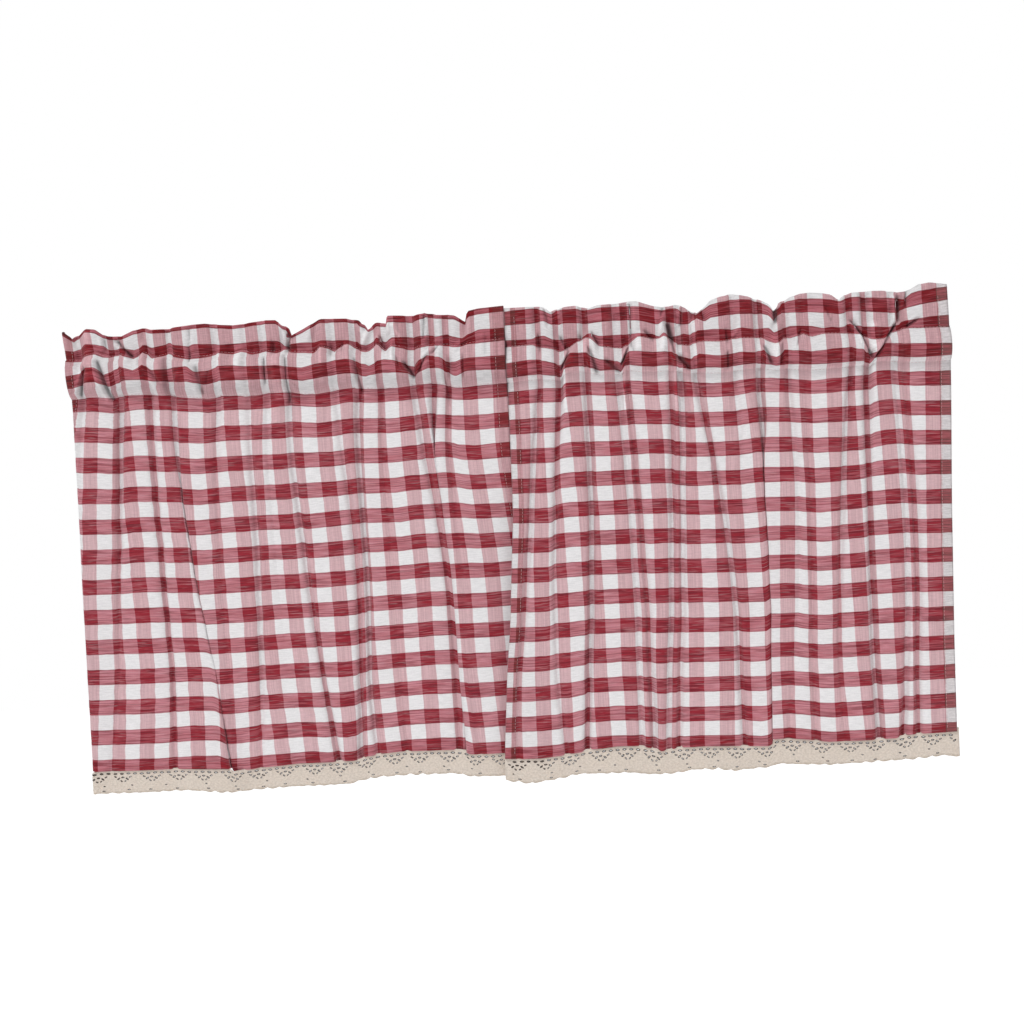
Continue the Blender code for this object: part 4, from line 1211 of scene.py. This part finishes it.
def painted_shades(add, colour):
    """The cloth's colour with painted shade where a second layer backs it, at its side hems, in its creases
    and at the foot of the pocket, and painted highlight on ridges. A second layer behind lets less light
    through, so two-layer cloth is painted deeper in its colours, though no greyer in its white, and a
    turned-in hem is painted greyer all over."""
    painted_layer_shade, from_side, painted_hem_grey, painted_relief_shade, under = (
        add("Attribute", out="Fac", attribute_name=measure) for measure in MEASURES
    )
    # Painted shade of the turned-in side hems, near each side edge
    painted_hem_shade = add("MapRange", (from_side, SIDE_HEM - 0.5, SIDE_HEM + 0.5, 1.0, 0.0), **EASED)
    painted_hem_shade = add("Math", (painted_hem_shade, painted_hem_grey), operation="MULTIPLY")
    # Painted shade: two-layer cloth and side hems are deeper in their colours, side hems also greyer
    deeper = add("Math", (painted_layer_shade, DOUBLED_DEPTH, 1.0), operation="MULTIPLY_ADD")
    deeper = add("Math", (painted_hem_shade, HEM_DEPTH, deeper), operation="MULTIPLY_ADD")
    colour = add("Gamma", (colour, deeper))
    # The painted grey shade of a side hem
    grey = add("Math", (painted_hem_shade, HEM_SHADE_GREY), operation="MULTIPLY")
    colour = add("Mix", {0: grey, 6: colour, 7: linear("#8F7E7A")}, **IN_COLOUR)
    # Painted shade stands for the little light at the bottom of a tight crease and on the underside of the
    # pocket, painted highlight for the more that ridges catch, and two-layer cloth is lifted so that its
    # white stays bright.
    # Each line has the range of a measure that is eased, and the share of the light at its two ends.
    bright = add("Math", (painted_hem_shade, 1.0), operation="ADD")
    for measure, *shading in (
        (painted_relief_shade, 0.0, 1.2, 1.0, 0.45),
        (painted_relief_shade, -1.0, 0.0, 1.18, 1.0),
        (under, 0.0, 1.0, 1.0, 0.84),
        (painted_layer_shade, 0.0, 1.0, 1.0, 1.1),
    ):
        shade = add("MapRange", (measure, *shading), **EASED)
        bright = add("Math", (bright, shade), operation="MULTIPLY")
    return add("VectorMath", {0: colour, "Scale": bright}, operation="SCALE")


def gingham_cotton(settings):
    """Yarn-dyed plain-weave cotton. The eye sees a matt check in four tones, since a coloured thread crosses
    either its own colour or white, with darker slubs along the filling and faint streaks along the warp."""
    material, shader, add = new_material("gingham_cotton", 0.88, 0.1, 0.2, 0.5)
    place = flat_place(add)
    # How far each thread lies from the middle of its band, whose edges wander a little
    wander = add("Math", (streaks(add, place, (14, 14), 1.0), 0.5 + CHECK / 2), operation="SUBTRACT")
    across, down = (
        add("Math", (add("Math", (part, wander), operation="ADD"), CHECK), operation="PINGPONG")
        for part in add("SeparateXYZ", (place,)).node.outputs[:2]
    )
    warp, weft = (
        add("MapRange", (far, CHECK / 2 - CHECK_BLUR, CHECK / 2 + CHECK_BLUR, 1.0, 0.0), **EASED)
        for far in (across, down)
    )
    plain = add("Mix", {0: warp, 6: settings.white[:], 7: settings.warp_tone[:]}, **IN_COLOUR)
    # The filling takes its dye unevenly, so both of its tones drift along a row
    dyed = streaks(add, place, (45, 4), 3.0, 13.0, (0.35, 0.65), (0.0, 0.3))
    depth = add("Math", (warp, 0.78, dyed), operation="MULTIPLY_ADD")
    filled = add("Mix", {0: depth, 6: settings.weft_tone[:], 7: settings.crossing[:]}, **IN_COLOUR)
    colour = add("Mix", {0: weft, 6: plain, 7: filled}, **IN_COLOUR)
    slubs = streaks(add, place, (40, 1.15), 2.5, 0.0, (0.47, 0.64))
    slubs_on = add("Math", (warp, 0.28, 0.52), operation="MULTIPLY_ADD")
    slubs = add("Math", (slubs, slubs_on), operation="MULTIPLY")
    sparse = streaks(add, place, (24, 1.2), 2.0, 9.0, (0.55, 0.72), (0.0, 0.24))
    # The first and last coloured threads of each band lie closer
    closer = add("MapRange", (down, CHECK / 2 - 1.5, CHECK / 2 - 0.4, 0.0, 0.3), **EASED)
    for share, tone in ((slubs, settings.slub), (sparse, settings.warp_tone), (closer, settings.slub)):
        share = add("Math", (share, weft), operation="MULTIPLY")
        colour = add("Mix", {0: share, 6: colour, 7: tone[:]}, **IN_COLOUR)
    fine = streaks(add, place, (9, 0.9), 2.0, 5.0, (0.25, 0.75), (0.93, 1.05))
    colour = add("VectorMath", {0: colour, "Scale": fine}, operation="SCALE")
    streak = streaks(add, place, (1.4, 60), 3.0, 7.0, (0.3, 0.7), (0.0, 0.4))
    for share in (warp, add("Math", (1.0, weft), operation="SUBTRACT")):
        streak = add("Math", (streak, share), operation="MULTIPLY")
    colour = add("Mix", {0: streak, 6: colour, 7: settings.warp_streak[:]}, **IN_COLOUR)
    mottle = streaks(add, place, (1.6, 1.6), 2.0, 3.0, (0.25, 0.75), (0.97, 1.02))
    colour = add("VectorMath", {0: colour, "Scale": mottle}, operation="SCALE")
    # Painted shade of two-layer cloth, side hems, creases and the pocket's foot, and painted highlight on
    # ridges
    colour = painted_shades(add, colour)
    # Threads lie 0.45 mm apart; they are drawn twice as coarse, so that the weave shows
    ribs = [streaks(add, place, size, 1.0, seed) for size, seed in (((8, 0.9), 1.0), ((0.9, 8), 2.0))]
    weave = {"Strength": 0.35, "Distance": 0.0004, "Height": add("Math", ribs, operation="ADD")}
    fill(shader, {"Base Color": colour, "Normal": add("Bump", weave)})
    return material


def cotton_lace(settings):
    """Machine-embroidered cotton lace in unbleached ecru. The eye sees a matt, closely stitched ground,
    darker along its edge, with painted shade on the thread round its openings."""
    material, shader, add = new_material("cotton_lace", 0.9, 0.1, 0.2, 0.5)
    place = flat_place(add)
    cloudy = streaks(add, place, (2.2, 1.6), 3.0, 0.0, (0.25, 0.75))
    edge = add("MapRange", (add("SeparateXYZ", (place,), 1), LACE_DROP - 3.0, LACE_DROP, 0.0, 0.5), **EASED)
    # Painted shade on the thread round each opening
    rim = add("MapRange", (add("Attribute", out="Fac", attribute_name="rim"), 0.05, 0.45, 0.0, 1.0), **EASED)
    colour = settings.lace_light[:]
    for share, tone in ((cloudy, settings.lace_dark), (edge, settings.lace_edge), (rim, settings.lace_rim_shade)):
        colour = add("Mix", {0: share, 6: colour, 7: tone[:]}, **IN_COLOUR)
    # Stitches 0.5 mm apart, drawn 1.1 mm apart so that they show
    cells = add("TexVoronoi", {"Vector": place, "Scale": 0.9}, "Distance", voronoi_dimensions="2D")
    bump = add("Bump", {"Strength": 0.5, "Distance": 0.0005, "Height": cells})
    fill(shader, {"Base Color": colour, "Normal": bump})
    return material


def sewing_thread(settings):
    """Spun polyester sewing thread, twisted. The eye sees short dashes a little glossier than the cloth."""
    material, shader, add = new_material("sewing_thread", 0.6, 0.2, 0.4)
    colour = settings.thread_colour[:]
    twist = add("TexNoise", {"Vector": add("TexCoord", out="Object"), "Scale": 900.0}, "Fac")
    twist = add("MapRange", (twist, 0.3, 0.7, 0.0, 1.0), **EASED)
    tone = add("Mix", {0: twist, 6: colour, 7: darker(colour, 0.8)}, **IN_COLOUR)
    fill(shader, {"Base Color": tone})
    return material


def lit_acrylic(settings):
    """Matt opal acrylic floor, softly lit from below. The eye sees an even pale ground with no edge."""
    material, shader, add = new_material("lit_acrylic", 0.9, 0.0, 0.2)
    colour = settings.floor_colour[:]
    speckle = add("TexNoise", {"Vector": add("TexCoord", out="Object"), "Scale": 30.0}, "Fac")
    tone = add("Mix", {0: speckle, 6: colour, 7: darker(colour, 0.985)}, **IN_COLOUR)
    fill(shader, {"Base Color": tone, "Emission Color": WHITE, "Emission Strength": 0.36})
    return material


# ------------------------------------------------------------ settings


def number(name, description, default, low=0.0, **kind):
    """A setting that is a number."""
    return bpy.props.FloatProperty(name=name, description=description, default=default, min=low, **kind)


def length(name, description, default, low, high):
    """A setting that is a length in metres."""
    return number(name, description, default, low, max=high, unit="LENGTH", precision=5)


def colour_setting(name, description, hex_colour):
    """A setting that is a colour."""
    return bpy.props.FloatVectorProperty(
        name=name, description=description, default=linear(hex_colour), min=0.0, max=1.0, size=4,
        subtype="COLOR",
    )


class ValanceClothSettings(bpy.types.PropertyGroup):
    """Sizes and colours of the gingham"""

    thickness: length("Cloth thickness", "One layer of the gingham", 0.00045, 0.0002, 0.003)
    pocket_front: length("Pocket front", "How far the front of the rod pocket stands out", 0.0125, 0.0, 0.03)
    pocket_back: length("Pocket back", "How far the back of the rod pocket stands out", 0.0105, 0.0, 0.03)
    gather_spread: length("Gather spread", "Width over which gathers are told from sags", 0.013, 0.004, 0.05)
    gather_relief: number(
        "Gather relief", "Forward puff for each length a check row is raised", 0.7, max=1.0, subtype="FACTOR"
    )
    crease_depth: number(
        "Crease depth", "The heading's creases, as a share of the table's", 1.3, max=3.0, subtype="FACTOR"
    )
    white: colour_setting("White", "White thread crossing white", "#DFDDDE")
    warp_tone: colour_setting("Warp tone", "Coloured warp crossing white filling", "#D1B1B5")
    warp_streak: colour_setting("Warp streak", "Closer threads in the coloured warp", "#AC8B8F")
    weft_tone: colour_setting("Filling tone", "Coloured filling crossing white warp", "#C3858E")
    crossing: colour_setting("Crossing", "Coloured thread crossing coloured thread", "#952432")
    slub: colour_setting("Slub", "Thick threads in the coloured filling", "#6E1B28")


class ValanceLaceSettings(bpy.types.PropertyGroup):
    """Sizes and colours of the lace"""

    lace_thickness: length("Lace thickness", "Thickness of the lace", 0.0008, 0.0003, 0.003)
    lace_repeat: length("Lace repeat", "Distance between two leaf clusters", 0.027, 0.01, 0.08)
    lace_light: colour_setting("Lace", "Ecru cotton", "#DCD1C6")
    lace_dark: colour_setting("Lace shade", "Closer stitches", "#CBC0B5")
    lace_edge: colour_setting("Lace edge", "The corded edge", "#B5A592")
    # The painted shade of the thread round the openings
    lace_rim_shade: colour_setting("Lace openings", "Shaded thread round the openings", "#2E2420")


class ValanceStitchSettings(bpy.types.PropertyGroup):
    """The sewing thread and its stitches"""

    stitch_length: length("Stitch", "Length of a stitch", 0.0026, 0.001, 0.006)
    stitch_space: length("Space", "Gap between two stitches", 0.0009, 0.0002, 0.004)
    thread: length("Thread", "Diameter of the sewing thread", 0.00036, 0.0002, 0.001)
    thread_colour: colour_setting("Thread colour", "Sewing thread", "#CFA4A8")


class ValanceStageSettings(bpy.types.PropertyGroup):
    """The floor, the lights and the lens"""

    floor_below: length("Floor below", "Distance from the lowest lace to the floor", 0.75, 0.0, 2.0)
    floor_size: length("Floor size", "Side of the floor", 12.0, 1.0, 60.0)
    floor_colour: colour_setting("Floor colour", "Studio floor", "#FBFBFB")
    key_power: number("Key light", "Power of the large soft light at the left front", 7.8, unit="POWER")
    overhead: number("Overhead light", "Strength of the soft light from above", 1.21)
    surround: number("Surround", "Brightness of the white surround as it lights the cloth", 0.47)
    focal_length: number("Focal length", "Lens on a 36 mm sensor, in millimetres", 75.0, 20.0)


# ------------------------------------------------------------ operators


def placed(piece, slot, *nodes):
    """A piece that rides on the valance and stands for CAD nodes, which are hidden; slot is not used."""
    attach(piece, BODY)
    if nodes:
        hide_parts(*nodes)
    return piece


class VALANCE_OT_cloth(bpy.types.Operator):
    """Make both panels' gingham cloth, each with its header, rod pocket, body and hems"""

    bl_idname = "valance.cloth"
    bl_label = "Gingham panels"

    def execute(self, context):
        settings = context.scene.valance_cloth
        material = gingham_cotton(settings)
        for panel in PANELS:
            piece = cloth(panel, settings, material)
            placed(piece, "gingham", f"heading_{panel.side}", f"panel_{panel.side}")
        return {"FINISHED"}


class VALANCE_OT_lace(bpy.types.Operator):
    """Make the lace edging of both panels, with its openings cut through"""

    bl_idname = "valance.lace"
    bl_label = "Lace edging"

    def execute(self, context):
        settings = context.scene.valance_lace
        material = cotton_lace(settings)
        for panel in PANELS:
            piece = placed(lace(panel, settings, material), "lace", f"lace_{panel.side}")
            width = float(lace_line(panel)[0][-1])
        return {"FINISHED"}


class VALANCE_OT_stitches(bpy.types.Operator):
    """Sew the seams of the rod pockets and of the side hems"""

    bl_idname = "valance.stitches"
    bl_label = "Stitching"

    def execute(self, context):
        cloth_settings = context.scene.valance_cloth
        settings = context.scene.valance_stitches
        material = sewing_thread(settings)
        in_from_edge = SIDE_HEM - SIDE_SEAM_IN
        for panel in PANELS:
            grid, _, _ = cloth_grid(panel, cloth_settings)
            paths = []
            for flat in (panel.upper_seam, panel.lower_seam):
                paths.append(seam_path(panel, grid, cloth_settings, flat))
            for place in (in_from_edge, panel.flat_width - in_from_edge):
                paths.append(side_path(panel, grid, cloth_settings, place))
            placed(stitches(f"stitching_{panel.side}", paths, settings, material), "gingham")
        return {"FINISHED"}


def add_light(name, kind, energy, aim, **settings):
    """A light that shines along a direction."""
    data = bpy.data.lights.new(name, kind)
    data.energy = energy
    for setting, value in settings.items():
        setattr(data, setting, value)
    light = linked(name, data)
    light.rotation_euler = aim.to_track_quat("-Z", "Y").to_euler()
    return light


def add_camera(focal_length):
    """A camera a little right of and above the middle, turned so that the right side stands higher."""
    azimuth, elevation, roll = (math.radians(angle) for angle in (3.0, 4.0, 2.88))
    away, target = 2.07, Vector((0.0, 0.0, -0.2285))
    frame_pixels, aimed_at = 1024.0, (510.0, 541.0)
    flat = math.cos(elevation)
    out = Vector((math.sin(azimuth) * flat, -math.cos(azimuth) * flat, math.sin(elevation)))
    right = (-out).cross(Vector((0, 0, 1))).normalized()
    up = right.cross(-out)
    turned_right = math.cos(roll) * right - math.sin(roll) * up
    turned_up = math.sin(roll) * right + math.cos(roll) * up
    data = bpy.data.cameras.new("studio_camera")
    data.lens = focal_length
    data.sensor_width = 36.0
    data.shift_x = (frame_pixels / 2 - aimed_at[0]) / frame_pixels
    data.shift_y = (aimed_at[1] - frame_pixels / 2) / frame_pixels
    camera = linked("studio_camera", data)
    turn = Matrix([turned_right, turned_up, out]).transposed().to_4x4()
    camera.matrix_world = Matrix.Translation(target + out * away) @ turn
    bpy.context.scene.camera = camera


def white_surround(strength):
    """A white surround that lights the cloth softly and is seen as plain white."""
    world = bpy.data.worlds.new("white_surround")
    world.use_nodes = True
    bpy.context.scene.world = world
    tree = world.node_tree
    tree.nodes.clear()
    soft, seen = (add_node(tree, "Background", (WHITE, bright)) for bright in (strength, 1.0))
    ray = add_node(tree, "LightPath", out="Is Camera Ray")
    fill(tree.nodes.new("ShaderNodeOutputWorld"), (add_node(tree, "MixShader", (ray, soft, seen)),))


class VALANCE_OT_stage(bpy.types.Operator):
    """Set the pale floor, the soft lights and the camera"""

    bl_idname = "valance.stage"
    bl_label = "Studio stage"

    def execute(self, context):
        settings = context.scene.valance_stage
        low = CAD_BOX[0][2] - settings.floor_below
        half = settings.floor_size / 2
        corners = [(x, y, low) for x, y in ((-half, -half), (half, -half), (half, half), (-half, half))]
        add_object("studio_floor", np.array(corners) / MM, [(0, 1, 2, 3)], lit_acrylic(settings))
        place, target = Vector((-0.7, -2.1, 1.2)), Vector((0.0, 0.0, -0.22))
        key = add_light("key_light", "AREA", settings.key_power, target - place, shape="SQUARE", size=1.2)
        key.location = place
        sun_aim = Vector((0.22, 0.6, -1.0))
        add_light("overhead_light", "SUN", settings.overhead, sun_aim, angle=math.radians(24))
        white_surround(settings.surround)
        context.scene.view_settings.view_transform = "Standard"
        add_camera(settings.focal_length)
        return {"FINISHED"}


class VALANCE_PT_sidebar(bpy.types.Panel):
    """The valance's pieces and their settings"""

    bl_idname = "VALANCE_PT_sidebar"
    bl_label = "Gingham valance"
    bl_space_type = "VIEW_3D"
    bl_region_type = "UI"
    bl_category = "Valance"

    def draw(self, context):
        for operator, (group, kind) in zip(OPERATORS, GROUPS.items()):
            box = self.layout.box()
            box.operator(operator.bl_idname)
            for name in kind.__annotations__:
                box.prop(getattr(context.scene, group), name)


GROUPS = {
    "valance_cloth": ValanceClothSettings,
    "valance_lace": ValanceLaceSettings,
    "valance_stitches": ValanceStitchSettings,
    "valance_stage": ValanceStageSettings,
}
OPERATORS = (VALANCE_OT_cloth, VALANCE_OT_lace, VALANCE_OT_stitches, VALANCE_OT_stage)
CLASSES = (*GROUPS.values(), *OPERATORS, VALANCE_PT_sidebar)


def register():
    """Make the classes known to Blender and put their settings in the scene."""
    for made in CLASSES:
        bpy.utils.register_class(made)
    for name, group in GROUPS.items():
        setattr(bpy.types.Scene, name, bpy.props.PointerProperty(type=group))


def unregister():
    """Take the settings and the classes away again."""
    for name in GROUPS:
        delattr(bpy.types.Scene, name)
    for made in reversed(CLASSES):
        bpy.utils.unregister_class(made)


def main():
    """Make every piece and the stage."""
    register()
    bpy.ops.valance.cloth()
    bpy.ops.valance.lace()
    bpy.ops.valance.stitches()
    bpy.ops.valance.stage()


if __name__ == "__main__":
    main()
